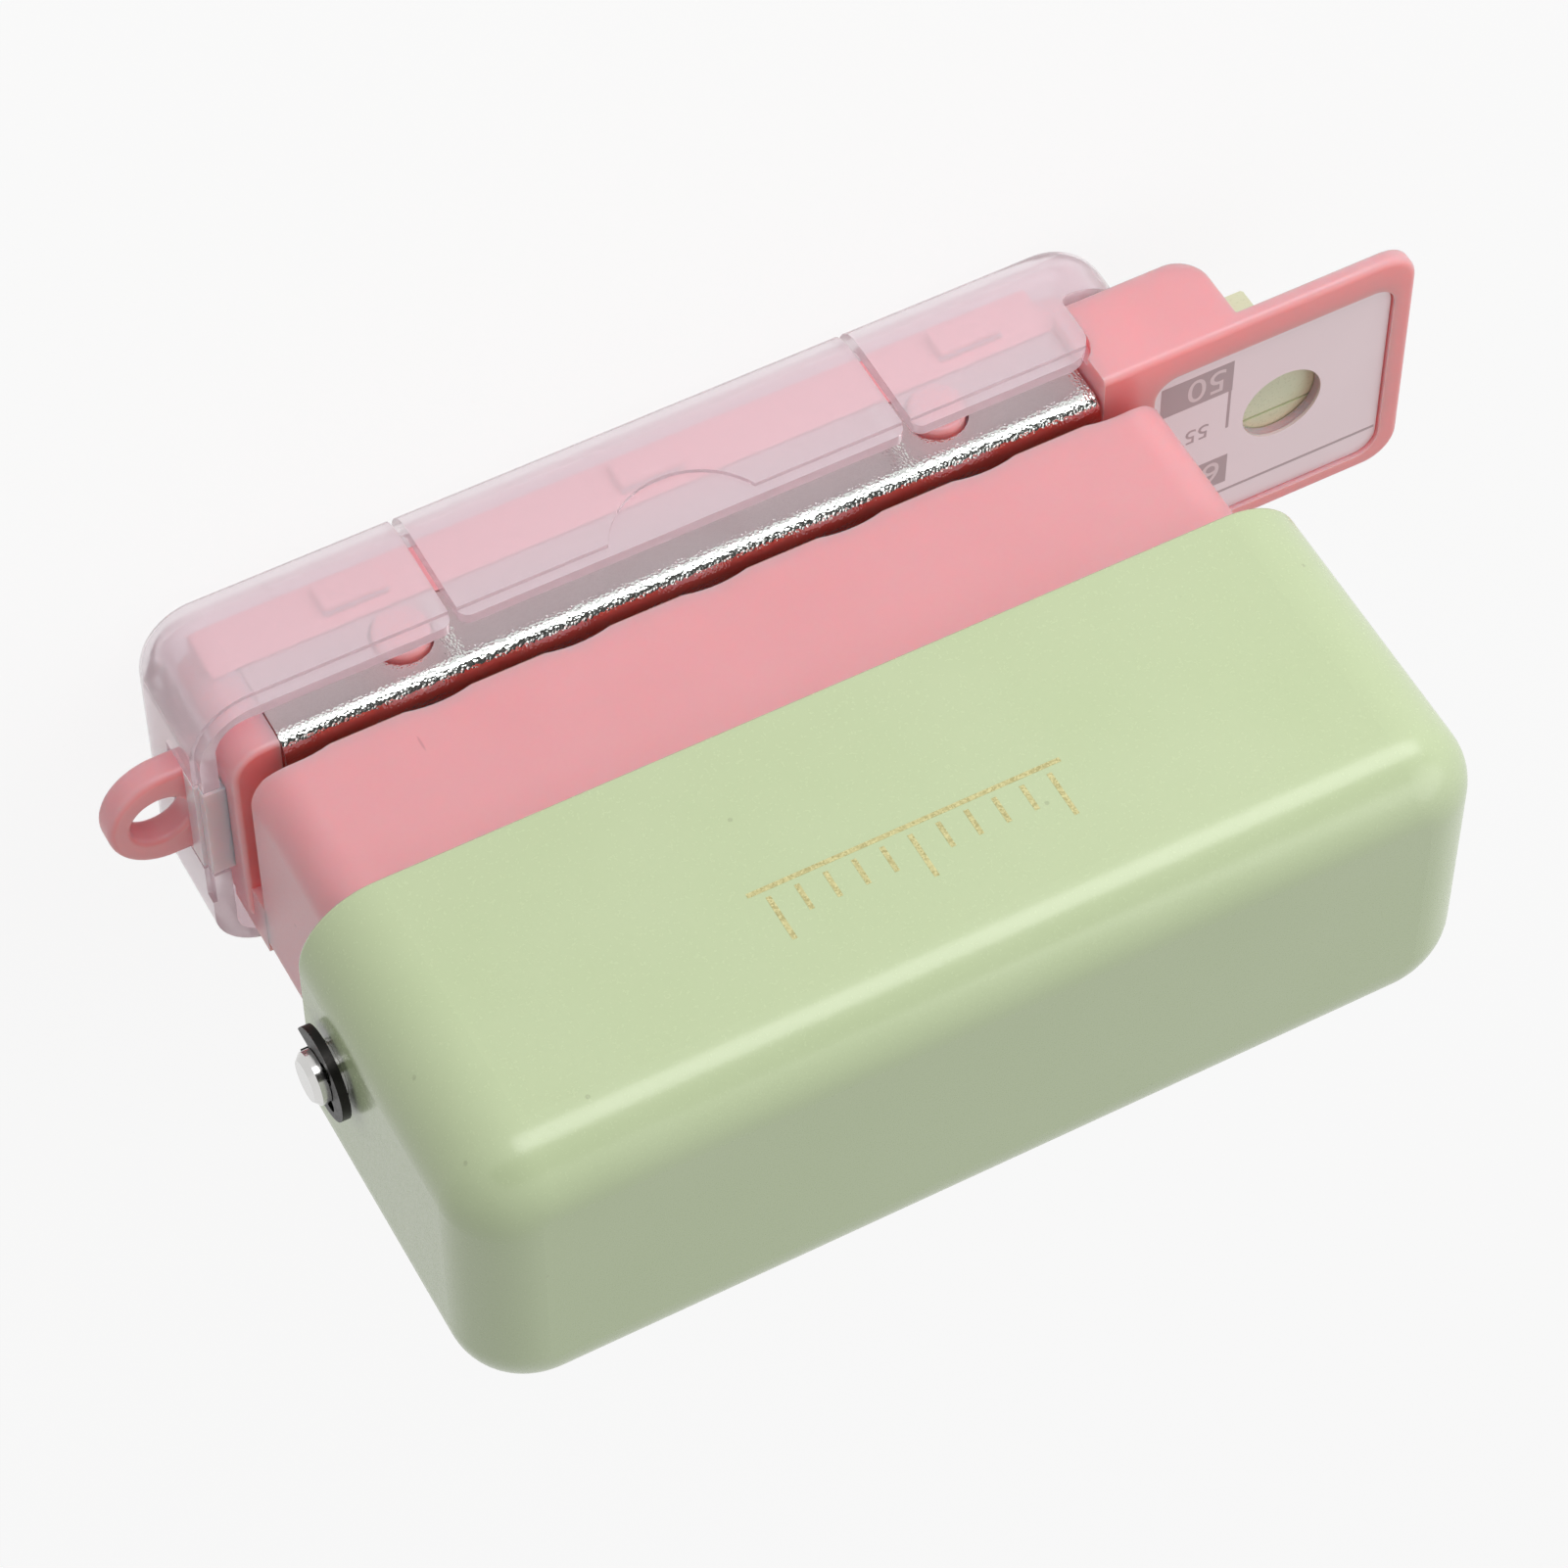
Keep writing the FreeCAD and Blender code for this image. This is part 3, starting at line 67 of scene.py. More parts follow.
bpy.context.scene.camera = camera
bpy.context.scene.view_settings.view_transform = "Standard"


# The floor is a wide sheet of matt white paper, and the world around it is a plain white room. Both
# show as clean white to the camera, and the floor still takes the object's soft shadow.
FLOOR_HALF = 3.0
PAPER_WHITE = "F4F3F2"
FLOOR_SHADE = 0.12
ROOM_LIGHT = 0.39


def linear(code):
    """An sRGB hex code as a linear colour with full alpha."""
    channels = [int(code[at:at + 2], 16) / 255 for at in (0, 2, 4)]
    return [c / 12.92 if c <= 0.04045 else ((c + 0.055) / 1.055) ** 2.4 for c in channels] + [1.0]


def add(tree, kind, values=None, links=None, **settings):
    """Add one node with its settings, its sockets' values and the outputs that feed them."""
    made = tree.nodes.new("ShaderNode" + kind)
    for name, value in settings.items():
        setattr(made, name, value)
    for socket, value in (values or {}).items():
        made.inputs[socket].default_value = value
    for socket, source in (links or {}).items():
        tree.links.new(source, made.inputs[socket])
    return made


def seen_white(tree):
    """1 for rays that look at the background: the camera's, and those from metal and glass."""
    path = add(tree, "LightPath")
    first = add(tree, "Math", links={0: path.outputs["Is Camera Ray"],
                                     1: path.outputs["Is Glossy Ray"]}, operation="MAXIMUM")
    return add(tree, "Math", links={0: first.outputs[0],
                                    1: path.outputs["Is Transmission Ray"]},
               operation="MAXIMUM").outputs[0]


paper = bpy.data.materials.new("matt_white_paper")
paper.use_nodes = True
tree = paper.node_tree
tree.nodes.clear()
lit = add(tree, "BsdfDiffuse", {"Color": linear(PAPER_WHITE)})
glow = add(tree, "Emission", {"Color": (1, 1, 1, 1), "Strength": 1.0})
part = add(tree, "Math", {1: 1 - FLOOR_SHADE}, {0: seen_white(tree)}, operation="MULTIPLY")
both = add(tree, "MixShader", links={0: part.outputs[0], 1: lit.outputs[0], 2: glow.outputs[0]})
add(tree, "OutputMaterial", links={"Surface": both.outputs[0]})

sheet = bmesh.new()
bmesh.ops.create_grid(sheet, x_segments=1, y_segments=1, size=FLOOR_HALF)
floor_mesh = bpy.data.meshes.new("floor")
sheet.to_mesh(floor_mesh)
sheet.free()
floor_mesh.materials.append(paper)
floor = bpy.data.objects.new("floor", floor_mesh)
bpy.context.collection.objects.link(floor)

world = bpy.data.worlds.new("white_room")
bpy.context.scene.world = world
world.use_nodes = True
tree = world.node_tree
tree.nodes.clear()
level = add(tree, "MapRange", {"To Min": ROOM_LIGHT, "To Max": 1.0}, {"Value": seen_white(tree)})
room = add(tree, "Background", {"Color": (1, 1, 1, 1)}, {"Strength": level.outputs[0]})
add(tree, "OutputWorld", links={"Surface": room.outputs[0]})


# The lamps: one long low softbox in front of the throat, whose reflection is the bright line along
# the die plate and the handle's edge, and a weak one high up beside the arm.
KEY_SIZE = (0.50, 0.16)
KEY_AT = (-0.17, -0.35, 0.080)
KEY_POWER = 0.87
HIGH_SIZE = (0.40, 0.40)
HIGH_AT = (-0.36, -0.16, 0.42)
HIGH_POWER = 0.66
HIGH_LOOKS_AT = (0, 0, 0.02)


def softbox(name, size, at, towards, power):
    """A soft rectangular lamp that faces a point."""
    data = bpy.data.lights.new(name, "AREA")
    data.shape = "RECTANGLE"
    data.size, data.size_y = size
    data.energy = power
    lamp = bpy.data.objects.new(name, data)
    lamp.location = at
    lamp.rotation_euler = (Vector(at) - Vector(towards)).to_track_quat("Z", "Y").to_euler()
    bpy.context.collection.objects.link(lamp)


softbox("key_softbox", KEY_SIZE, KEY_AT, (KEY_AT[0], 0, KEY_AT[2]), KEY_POWER)
softbox("high_softbox", HIGH_SIZE, HIGH_AT, HIGH_LOOKS_AT, HIGH_POWER)


# A dark grey card stands above the key softbox, as photographers hang one for bright metal. Only
# mirrored rays see it, and it gives the plate's bright line a dark band beside it.
CARD_HALF = (0.60, 0.225)
CARD_AT = (-0.10, -0.36, 0.395)
CARD_GREY = "4A4846"
CARD_MATT = 0.9
card_paint = bpy.data.materials.new("black_card")
card_paint.use_nodes = True
shader = card_paint.node_tree.nodes["Principled BSDF"]
shader.inputs["Base Color"].default_value = linear(CARD_GREY)
shader.inputs["Roughness"].default_value = CARD_MATT
sheet = bmesh.new()
bmesh.ops.create_grid(sheet, x_segments=1, y_segments=1, size=1.0)
bmesh.ops.scale(sheet, vec=(*CARD_HALF, 1), verts=sheet.verts)
bmesh.ops.rotate(sheet, matrix=Matrix.Rotation(math.radians(90), 3, "X"), verts=sheet.verts)
bmesh.ops.translate(sheet, vec=CARD_AT, verts=sheet.verts)
card_mesh = bpy.data.meshes.new("black_card")
sheet.to_mesh(card_mesh)
sheet.free()
card_mesh.materials.append(card_paint)
card = bpy.data.objects.new("black_card", card_mesh)
bpy.context.collection.objects.link(card)
for rays in ("camera", "diffuse", "transmission", "volume_scatter", "shadow"):
    setattr(card, "visible_" + rays, False)


# The lower jaw, with its spine, side block and arm, is one moulding of pink ABS. The mould was
# spark-eroded, so it has a fine satin grain. Light that enters at the front spreads inside the
# plastic, and the faces that look up are painted a redder pink as well: a painted glow for the
# light bounced onto them between the pink faces.
MM = 0.001
PINK, PINK_DEEP, PINK_SPECK = "F6B0B6", "F3A8AE", "9C5F5C"
PINK_PAINTED_GLOW = "FD9A9B"
GRAIN_SIZE = 0.22 * MM     # the real grain, about 0.1 mm, is drawn this coarse so that it shows
GRAIN_RISE = 0.003 * MM
GRAIN_LOW, GRAIN_HIGH = 0.3, 0.7   # between these the noise turns from glossier to duller
GLOSS_SPREAD = 0.05
CLOUD_SIZE = 9.0 * MM
SPECK_APART, SPECK_SIZE = 6.0 * MM, 0.12 * MM
SCUFF_APART, SCUFF_SIZE, SCUFF_LONG = 5.0 * MM, 0.07 * MM, 7.0
SCUFF_TURN = (0.5, 0.9, 0.4)
MARK_STRENGTH, MARK_EDGE = 0.28, 1.6
PAINTED_GLOW_STARTS, PAINTED_GLOW_FULL = 0.5, 0.95   # how far a face looks up, from the side to straight up
SATIN = 0.36
ABS_IOR = 1.54
INSIDE_GLOW = 0.9
GLOW_RADIUS = (1.0, 0.30, 0.24)   # red light travels farthest in the plastic
GLOW_DEEP = 3.2 * MM


def moulded(name, colour, deeper, speck, roughness, ior=ABS_IOR, soft=0.0, glow=None):
    """Injection-moulded plastic: satin grain, faint clouds, a few dark specks and fine scuffs, and,
    where a glow colour is given, a painted glow on the faces that look up.
    """
    made = bpy.data.materials.new(name)
    made.use_nodes = True
    tree = made.node_tree
    shader = tree.nodes["Principled BSDF"]
    place = add(tree, "TexCoord").outputs["Object"]
    clouds = add(tree, "TexNoise", {"Scale": 1 / CLOUD_SIZE, "Detail": 3.0}, {"Vector": place})
    tint = add(tree, "MixRGB", {"Color1": linear(colour), "Color2": linear(deeper)},
               {"Fac": clouds.outputs["Fac"]}).outputs[0]
    slanted = add(tree, "Mapping", {"Rotation": SCUFF_TURN, "Scale": (1, 1, 1 / SCUFF_LONG)},
                  {"Vector": place}).outputs[0]
    for where, apart, size in ((place, SPECK_APART, SPECK_SIZE),
                               (slanted, SCUFF_APART, SCUFF_SIZE)):
        points = add(tree, "TexVoronoi", {"Scale": 1 / apart}, {"Vector": where})
        mark = add(tree, "MapRange",
                   {"From Min": size / apart, "From Max": MARK_EDGE * size / apart,
                    "To Min": MARK_STRENGTH, "To Max": 0.0},
                   {"Value": points.outputs["Distance"]})
        tint = add(tree, "MixRGB", {"Color2": linear(speck)},
                   {"Fac": mark.outputs[0], "Color1": tint}).outputs[0]
    # Painted glow: faces that look up are mixed towards the glow colour, painted light for the red
    # light bounced onto them.
    if glow:
        facing = add(tree, "SeparateXYZ", links={0: add(tree, "TexCoord").outputs["Normal"]})
        upward = add(tree, "MapRange", {"From Min": PAINTED_GLOW_STARTS, "From Max": PAINTED_GLOW_FULL},
                     {"Value": facing.outputs["Z"]})
        tint = add(tree, "MixRGB", {"Color2": linear(glow)},
                   {"Fac": upward.outputs[0], "Color1": tint}).outputs[0]
    tree.links.new(tint, shader.inputs["Base Color"])
    grain = add(tree, "TexNoise", {"Scale": 1 / GRAIN_SIZE, "Detail": 2.0, "Roughness": 0.6},
                {"Vector": place})
    skin = add(tree, "MapRange", {"From Min": GRAIN_LOW, "From Max": GRAIN_HIGH,
                                  "To Min": roughness - GLOSS_SPREAD,
                                  "To Max": roughness + GLOSS_SPREAD},
               {"Value": grain.outputs["Fac"]})
    tree.links.new(skin.outputs[0], shader.inputs["Roughness"])
    bump = add(tree, "Bump", {"Strength": 1.0, "Distance": GRAIN_RISE},
               {"Height": grain.outputs["Fac"]})
    tree.links.new(bump.outputs[0], shader.inputs["Normal"])
    shader.inputs["IOR"].default_value = ior
    if soft:
        shader.inputs["Subsurface Weight"].default_value = soft
        shader.inputs["Subsurface Radius"].default_value = GLOW_RADIUS
        shader.inputs["Subsurface Scale"].default_value = GLOW_DEEP
    return made


def dress(material, *nodes):
    """Give CAD nodes a material in place of their plain one."""
    for node in nodes:
        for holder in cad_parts[node].material_slots:
            holder.material = material


pink_abs = moulded("pink_abs_satin", PINK, PINK_DEEP, PINK_SPECK, SATIN, soft=INSIDE_GLOW,
                   glow=PINK_PAINTED_GLOW)
dress(pink_abs, "jaw")


# The housing is of the same pink ABS, screwed to the jaw through the guide. Its underside is the
# throat's roof, and it is painted a deep red: painted shade for the light that reaches it only
# after bouncing between pink faces many times. The bright plate mirrors that painted red.
THROAT_PAINTED_RED = "E26A62"
ROOF_AT, ROOF_SOFT = 13.61 * MM, 0.06 * MM


def shade_by_height(material, colour, start, end, share):
    """Mix a colour into a material's own, from none at one height to a share at the other."""
    tree = material.node_tree
    base = tree.nodes["Principled BSDF"].inputs["Base Color"]
    height = add(tree, "SeparateXYZ", links={0: add(tree, "TexCoord").outputs["Object"]})
    amount = add(tree, "MapRange", {"From Min": start, "From Max": end, "To Min": 0.0,
                                    "To Max": share}, {"Value": height.outputs["Z"]})
    mixed = add(tree, "MixRGB", {"Color2": linear(colour)},
                {"Fac": amount.outputs[0], "Color1": base.links[0].from_socket})
    tree.links.new(mixed.outputs[0], base)


housing_abs = moulded("pink_abs_housing", PINK, PINK_DEEP, PINK_SPECK, SATIN, soft=INSIDE_GLOW,
                      glow=PINK_PAINTED_GLOW)
# Painted shade: the housing's underside, below the roof's height, turns deep red.
shade_by_height(housing_abs, THROAT_PAINTED_RED, ROOF_AT + ROOF_SOFT, ROOF_AT, 1.0)
dress(housing_abs, "housing")


# Below the die plate the jaw's front stands forward over the plate's lower edge, and three flat
# catches for the tray's latch are moulded on it. It is too thin for light to glow inside it, and
# shows through the tray as soft pink shapes.
STEP_LEFT, STEP_RIGHT = -28.5, 30.2
STEP_FRONT, STEP_BACK, STEP_LOW = -9.6, -7.9, 1.9
LEDGE_FRONT, PLATE_FACE, PLATE_LOW, LEDGE_HIGH = -9.57, -9.42, 5.05, 5.75
CATCH_MIDDLES = (20.15, -0.35, -23.05)
CATCH_HALF, CATCH_FRONT, CATCH_LOW, CATCH_HIGH = 2.2, -10.3, 2.6, 4.7
MOULD_EDGE = 0.2
EDGE_STEPS = 3
CATCH_ROOT, LEDGE_ROOT = 0.1, 1.0    # how far a catch and the ledge reach into the step


def block(shape, low, high, edge):
    """A box between two corners added to a shape, with its edges rounded."""
    size = Vector(high) - Vector(low)
    at = Matrix.Translation((Vector(high) + Vector(low)) / 2) @ Matrix.Diagonal((*size, 1))
    made = bmesh.ops.create_cube(shape, size=1.0, matrix=at)
    edges = list({side for vert in made["verts"] for side in vert.link_edges})
    bmesh.ops.bevel(shape, geom=edges, offset=edge, segments=EDGE_STEPS, profile=0.5,
                    affect="EDGES", material=-1)


shape = bmesh.new()
block(shape, (STEP_LEFT, STEP_FRONT, STEP_LOW), (STEP_RIGHT, STEP_BACK, PLATE_LOW), MOULD_EDGE)
block(shape, (STEP_LEFT, LEDGE_FRONT, PLATE_LOW - LEDGE_ROOT),
      (STEP_RIGHT, PLATE_FACE, LEDGE_HIGH), MOULD_EDGE / 3)
for middle in CATCH_MIDDLES:
    block(shape, (middle - CATCH_HALF, CATCH_FRONT, CATCH_LOW),
          (middle + CATCH_HALF, STEP_FRONT + CATCH_ROOT, CATCH_HIGH), MOULD_EDGE)
mesh = bpy.data.meshes.new("jaw_step_and_catches")
shape.to_mesh(mesh)
shape.free()
mesh.transform(Matrix.Scale(MM, 4))
mesh.materials.append(moulded("pink_abs_catches", PINK, PINK_DEEP, PINK_SPECK, SATIN))
step = bpy.data.objects.new("jaw_step_and_catches", mesh)
bpy.context.collection.objects.link(step)
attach(step, "base")


# The strap loop is of the same pink ABS, seated in the jaw, and its web fills the gap that the loop
# needs in the tray's wall. Like the tray it lies in, the web has a milky skin, so the tray's rim
# seems to run on over it.
MILKY = "F4E4E8"
MILKY_SHARE = 0.9
WEB_LOW, WEB_SOFT = 7.75 * MM, 0.25 * MM
loop_abs = moulded("pink_abs_milky_web", PINK, PINK_DEEP, PINK_SPECK, SATIN, soft=INSIDE_GLOW,
                   glow=PINK_PAINTED_GLOW)
shade_by_height(loop_abs, MILKY, WEB_LOW, WEB_LOW + WEB_SOFT, MILKY_SHARE)
dress(loop_abs, "loop_tab")


# The handle's cap is one deep moulding of pale green ABS that slides down over the housing. Its
# skin is a little smoother than the jaw's, so it has clearer highlights along its rounded edges.
GREEN, GREEN_DEEP, GREEN_SPECK = "C8D6AD", "C2D2A5", "7E8262"
CAP_SMOOTH = 0.24
green_abs = moulded("green_abs_satin", GREEN, GREEN_DEEP, GREEN_SPECK, CAP_SMOOTH)
dress(green_abs, "handle_cap")


# The gauge's slide under the arm is a thin moulding of the same green ABS, held by two pegs and
# washers. Its green is painted paler than the cap's: painted light for the light that comes through
# it.
# Painted light: the slide's greens are lighter copies of the cap's green.
SLIDE_PAINTED_PALE_GREEN, SLIDE_PAINTED_PALE_GREEN_DEEP = "DDE4C4", "D8DFBD"
SLIDE_SATIN = 0.30
slide_abs = moulded("green_abs_slide", SLIDE_PAINTED_PALE_GREEN, SLIDE_PAINTED_PALE_GREEN_DEEP, GREEN_SPECK, SLIDE_SATIN)
dress(slide_abs, "gauge_slide")


# The chip tray is moulded from natural polypropylene, milky and see-through, with a fine frosting
# inside: what touches it shows clearly, and what lies deeper blurs away. Most of the light that
# falls on its walls goes on to the plastic behind them.
FROSTED, LIGHT_TINT = "F6E9EF", "FAF4F6"
TRAY_CLEAR = 0.66
TRAY_LETS_LIGHT = 0.92
TRAY_ROUGHNESS = 0.14
POLYPROPYLENE_IOR = 1.49
FROST_SIZE, FROST_RISE = 0.35 * MM, 0.004 * MM
frosted = bpy.data.materials.new("frosted_polypropylene")
frosted.use_nodes = True
tree = frosted.node_tree
shader = tree.nodes["Principled BSDF"]
shader.inputs["Base Color"].default_value = linear(FROSTED)
shader.inputs["Roughness"].default_value = TRAY_ROUGHNESS
shader.inputs["IOR"].default_value = POLYPROPYLENE_IOR
shader.inputs["Transmission Weight"].default_value = TRAY_CLEAR
place = add(tree, "TexCoord").outputs["Object"]
frost = add(tree, "TexNoise", {"Scale": 1 / FROST_SIZE, "Detail": 2.0}, {"Vector": place})
bump = add(tree, "Bump", {"Strength": 1.0, "Distance": FROST_RISE},
           {"Height": frost.outputs["Fac"]})
tree.links.new(bump.outputs[0], shader.inputs["Normal"])
path = add(tree, "LightPath")
lit_through = add(tree, "Math", links={0: path.outputs["Is Shadow Ray"],
                                       1: path.outputs["Is Diffuse Ray"]}, operation="MAXIMUM")
open_share = add(tree, "Math", {1: TRAY_LETS_LIGHT}, {0: lit_through.outputs[0]},
                 operation="MULTIPLY")
clear = add(tree, "BsdfTransparent", {"Color": linear(LIGHT_TINT)})
lets_light = add(tree, "MixShader", links={0: open_share.outputs[0], 1: shader.outputs[0],
                                           2: clear.outputs[0]})
tree.links.new(lets_light.outputs[0], tree.nodes["Material Output"].inputs["Surface"])
dress(frosted, "chip_tray")


# The die plate is bent from cold-rolled steel and nickel-plated, and clips over the jaw's front: a
# silvery mirror broken up by the fine peel of rolled sheet. The guide's and insert's screws have
# the same plating.
NICKEL = "DADDDA"
PEEL_SIZE = 0.19 * MM       # finer on the real plate; drawn this coarse and deep so that it shows
PEEL_RISE = 0.028 * MM


def bare_metal(name, colour, roughness, spread, peel_size, peel_rise):
    """A metal with a rolled, ground or drawn skin: uneven gloss and very low bumps."""
    made = bpy.data.materials.new(name)
    made.use_nodes = True
    tree = made.node_tree
    shader = tree.nodes["Principled BSDF"]
    shader.inputs["Base Color"].default_value = linear(colour)
    shader.inputs["Metallic"].default_value = 1.0
    place = add(tree, "TexCoord").outputs["Object"]
    peel = add(tree, "TexVoronoi", {"Scale": 1 / peel_size}, {"Vector": place}).outputs["Distance"]
    skin = add(tree, "MapRange", {"From Min": 0.0, "From Max": 0.7, "To Min": roughness,
                                  "To Max": roughness + spread}, {"Value": peel})
    tree.links.new(skin.outputs[0], shader.inputs["Roughness"])
    bump = add(tree, "Bump", {"Strength": 1.0, "Distance": peel_rise}, {"Height": peel})
    tree.links.new(bump.outputs[0], shader.inputs["Normal"])
    return made


nickel = bare_metal("nickel_plated_steel", NICKEL, roughness=0.09, spread=0.05,
                    peel_size=PEEL_SIZE, peel_rise=PEEL_RISE)
dress(nickel, "die_plate", "guide_screws", "insert_screws")


# The cross rod through the cap and the bar, and the tray's hinge pin, are centreless-ground steel,
# polished bright, so their round sides mirror the room in narrow stripes.
ROD_STEEL = "D3D2D0"
polished = bare_metal("polished_steel_rod", ROD_STEEL, roughness=0.12, spread=0.05,
                      peel_size=0.25 * MM, peel_rise=0.0005 * MM)
dress(polished, "cross_rod", "tray_hinge_pin")


# The five punches are hardened tool steel with ground shanks and hollow-ground tips, greyer and
# less glossy than the rod. The springs' posts are ground from the same bar.
TOOL_STEEL = "B9B8B6"
tool_steel = bare_metal("ground_tool_steel", TOOL_STEEL, roughness=0.20, spread=0.10,
                        peel_size=0.12 * MM, peel_rise=0.001 * MM)
dress(tool_steel, "punch_1", "punch_2", "punch_3", "punch_4", "punch_5", "spring_posts")


# The bar that holds the punches' heads and the push-on washers of the slide are plain pressed
# steel, dull and grey, with a coarser skin.
PRESSED_STEEL = "A8A6A3"
pressed = bare_metal("pressed_steel", PRESSED_STEEL, roughness=0.32, spread=0.12,
                     peel_size=0.5 * MM, peel_rise=0.003 * MM)
dress(pressed, "punch_bar", "slide_washers")


# The two return springs are cold-drawn spring wire with a light oil film, coiled with their ends
# cut off plain. They stand on the guide under the punch bar, where the pressed handle shortens
# them; here they are drawn at one length and ride with the base.
WIRE, COIL_RADIUS, COIL_TURNS = 0.55, 2.1, 5.5
WIRE_SIDES, STEPS_A_TURN = 12, 32
SPRING_WIRE = "8E8C8A"
drawn = bare_metal("drawn_spring_wire", SPRING_WIRE, roughness=0.22, spread=0.08,
                   peel_size=0.15 * MM, peel_rise=0.001 * MM)


def coil(name, node):
    """A spring in place of a CAD one: a wire's round section wound upwards, closed at both ends."""
    low, high = [Vector(corner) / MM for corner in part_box(node)]
    middle = (low + high) / 2
    start = Vector((middle.x + COIL_RADIUS, middle.y, low.z + WIRE / 2))
    rise = high.z - low.z - WIRE
    shape = bmesh.new()
    upright = Matrix.Translation(start) @ Matrix.Rotation(math.radians(90), 4, "X")
    ring = bmesh.ops.create_circle(shape, cap_ends=True, radius=WIRE / 2, segments=WIRE_SIDES,
                                   matrix=upright)
    steps = round(COIL_TURNS * STEPS_A_TURN)
    disc = list({face for vert in ring["verts"] for face in vert.link_faces})
    bmesh.ops.spin(shape, geom=disc, cent=(middle.x, middle.y, 0), axis=(0, 0, 1),
                   dvec=(0, 0, rise / steps), angle=2 * math.pi * COIL_TURNS, steps=steps)
    bmesh.ops.recalc_face_normals(shape, faces=shape.faces)
    mesh = bpy.data.meshes.new(name)
    shape.to_mesh(mesh)
    shape.free()
    mesh.transform(Matrix.Scale(MM, 4))
    mesh.materials.append(drawn)
    mesh.shade_smooth()
    piece = bpy.data.objects.new(name, mesh)
    bpy.context.collection.objects.link(piece)
    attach(piece, "base")
    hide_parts(node)
    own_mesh(piece)


coil("spring_coil_left", "return_spring_left")
coil("spring_coil_right", "return_spring_right")


# The retaining rings in the rod's grooves are stamped from spring steel and blackened in a hot
# oxide bath, which leaves a soft black sheen.
BLACK_OXIDE = "2A2928"
blackened = bare_metal("black_oxide_steel", BLACK_OXIDE, roughness=0.34, spread=0.10,
                       peel_size=0.20 * MM, peel_rise=0.001 * MM)
dress(blackened, "retaining_ring_left", "retaining_ring_right")


# The guide block on the housing's floor and the ribbed insert under the cap are moulded from white
# acetal, waxy and smooth so that steel slides in it.
ACETAL, ACETAL_DEEP, ACETAL_SPECK = "ECEAE4", "E4E1D9", "A9A49A"
ACETAL_IOR = 1.48
acetal = moulded("white_acetal", ACETAL, ACETAL_DEEP, ACETAL_SPECK, 0.30, ACETAL_IOR)
dress(acetal, "punch_guide", "handle_insert")


# The gauge's label is a thin polyester film with a silvery lilac ground, stuck into the arm's
# recess. The silver in it mirrors the room softly, so it looks pale.
LILAC, LILAC_DEEP = "E8D5D9", "E3D0D4"
HAZE_SIZE = 6.0 * MM
film = bpy.data.materials.new("lilac_polyester_film")
film.use_nodes = True
tree = film.node_tree
shader = tree.nodes["Principled BSDF"]
shader.inputs["Roughness"].default_value = 0.45
shader.inputs["Metallic"].default_value = 0.45   # the share of silver pigment in the film
place = add(tree, "TexCoord").outputs["Object"]
haze = add(tree, "TexNoise", {"Scale": 1 / HAZE_SIZE, "Detail": 4.0}, {"Vector": place})
tint = add(tree, "MixRGB", {"Color1": linear(LILAC), "Color2": linear(LILAC_DEEP)},
           {"Fac": haze.outputs["Fac"]})
tree.links.new(tint.outputs[0], shader.inputs["Base Color"])
dress(film, "gauge_label")


# The label's print is a matt grey screen ink: filled and outlined boxes with plain numbers in them
# or beside them, and two fine lines. The numbers on the filled boxes are a lighter ink.
LABEL_TOP = 11.8 * MM
INK_THICK = 0.012 * MM
INK_GREY, INK_LIGHT = "B9A4A8", "E4D2D5"
INK_MATT = 0.45
FILLED = ((-38.5, -33.1, -7.6, -4.7), (-38.45, -38.25, -4.7, -1.0),   # left, right, low, high
          (-38.6, -33.1, 1.8, 4.6), (-50.1, -33.0, 5.4, 5.62))
OUTLINED, OUTLINE_WIDE = (-37.5, -33.1, -2.7, -0.5), 0.22
ON_BOXES = (("50", -37.9, -7.2, 2.1), ("60", -38.0, 2.15, 2.1))       # number, left, low, height
BETWEEN = ("55", -36.9, -2.25, 1.3)
SAME_POINT = 0.0005


def inked(name, colour, roughness, speck_colour=None, speck_size=0.12 * MM):
    """Printing ink, with flakes of another colour in it where one is given."""
    made = bpy.data.materials.new(name)
    made.use_nodes = True
    tree = made.node_tree
    shader = tree.nodes["Principled BSDF"]
    shader.inputs["Roughness"].default_value = roughness
    place = add(tree, "TexCoord").outputs["Object"]
    flakes = add(tree, "TexVoronoi", {"Scale": 1 / speck_size}, {"Vector": place})
    shade = add(tree, "SeparateColor", links={0: flakes.outputs["Color"]})
    tint = add(tree, "MixRGB", {"Color1": linear(colour),
                                "Color2": linear(speck_colour or colour)},
               {"Fac": shade.outputs[0]})
    tree.links.new(tint.outputs[0], shader.inputs["Base Color"])
    return made


def bar(shape, left, right, low, high):
    """A flat rectangle added to a drawing, in millimetres; its new faces are returned."""
    at = Matrix.Translation(((left + right) / 2, (low + high) / 2, 0))
    size = Matrix.Diagonal((right - left, high - low, 1, 1))
    made = bmesh.ops.create_grid(shape, x_segments=1, y_segments=1, size=0.5, matrix=at @ size)
    return list({face for vert in made["verts"] for face in vert.link_faces})


def frame_line(shape, left, right, low, high, width):
    """A rectangle's outline added to a drawing."""
    faces = bar(shape, left, right, low, high)
    bmesh.ops.inset_region(shape, faces=faces, thickness=width, use_even_offset=True)
    bmesh.ops.delete(shape, geom=faces, context="FACES")


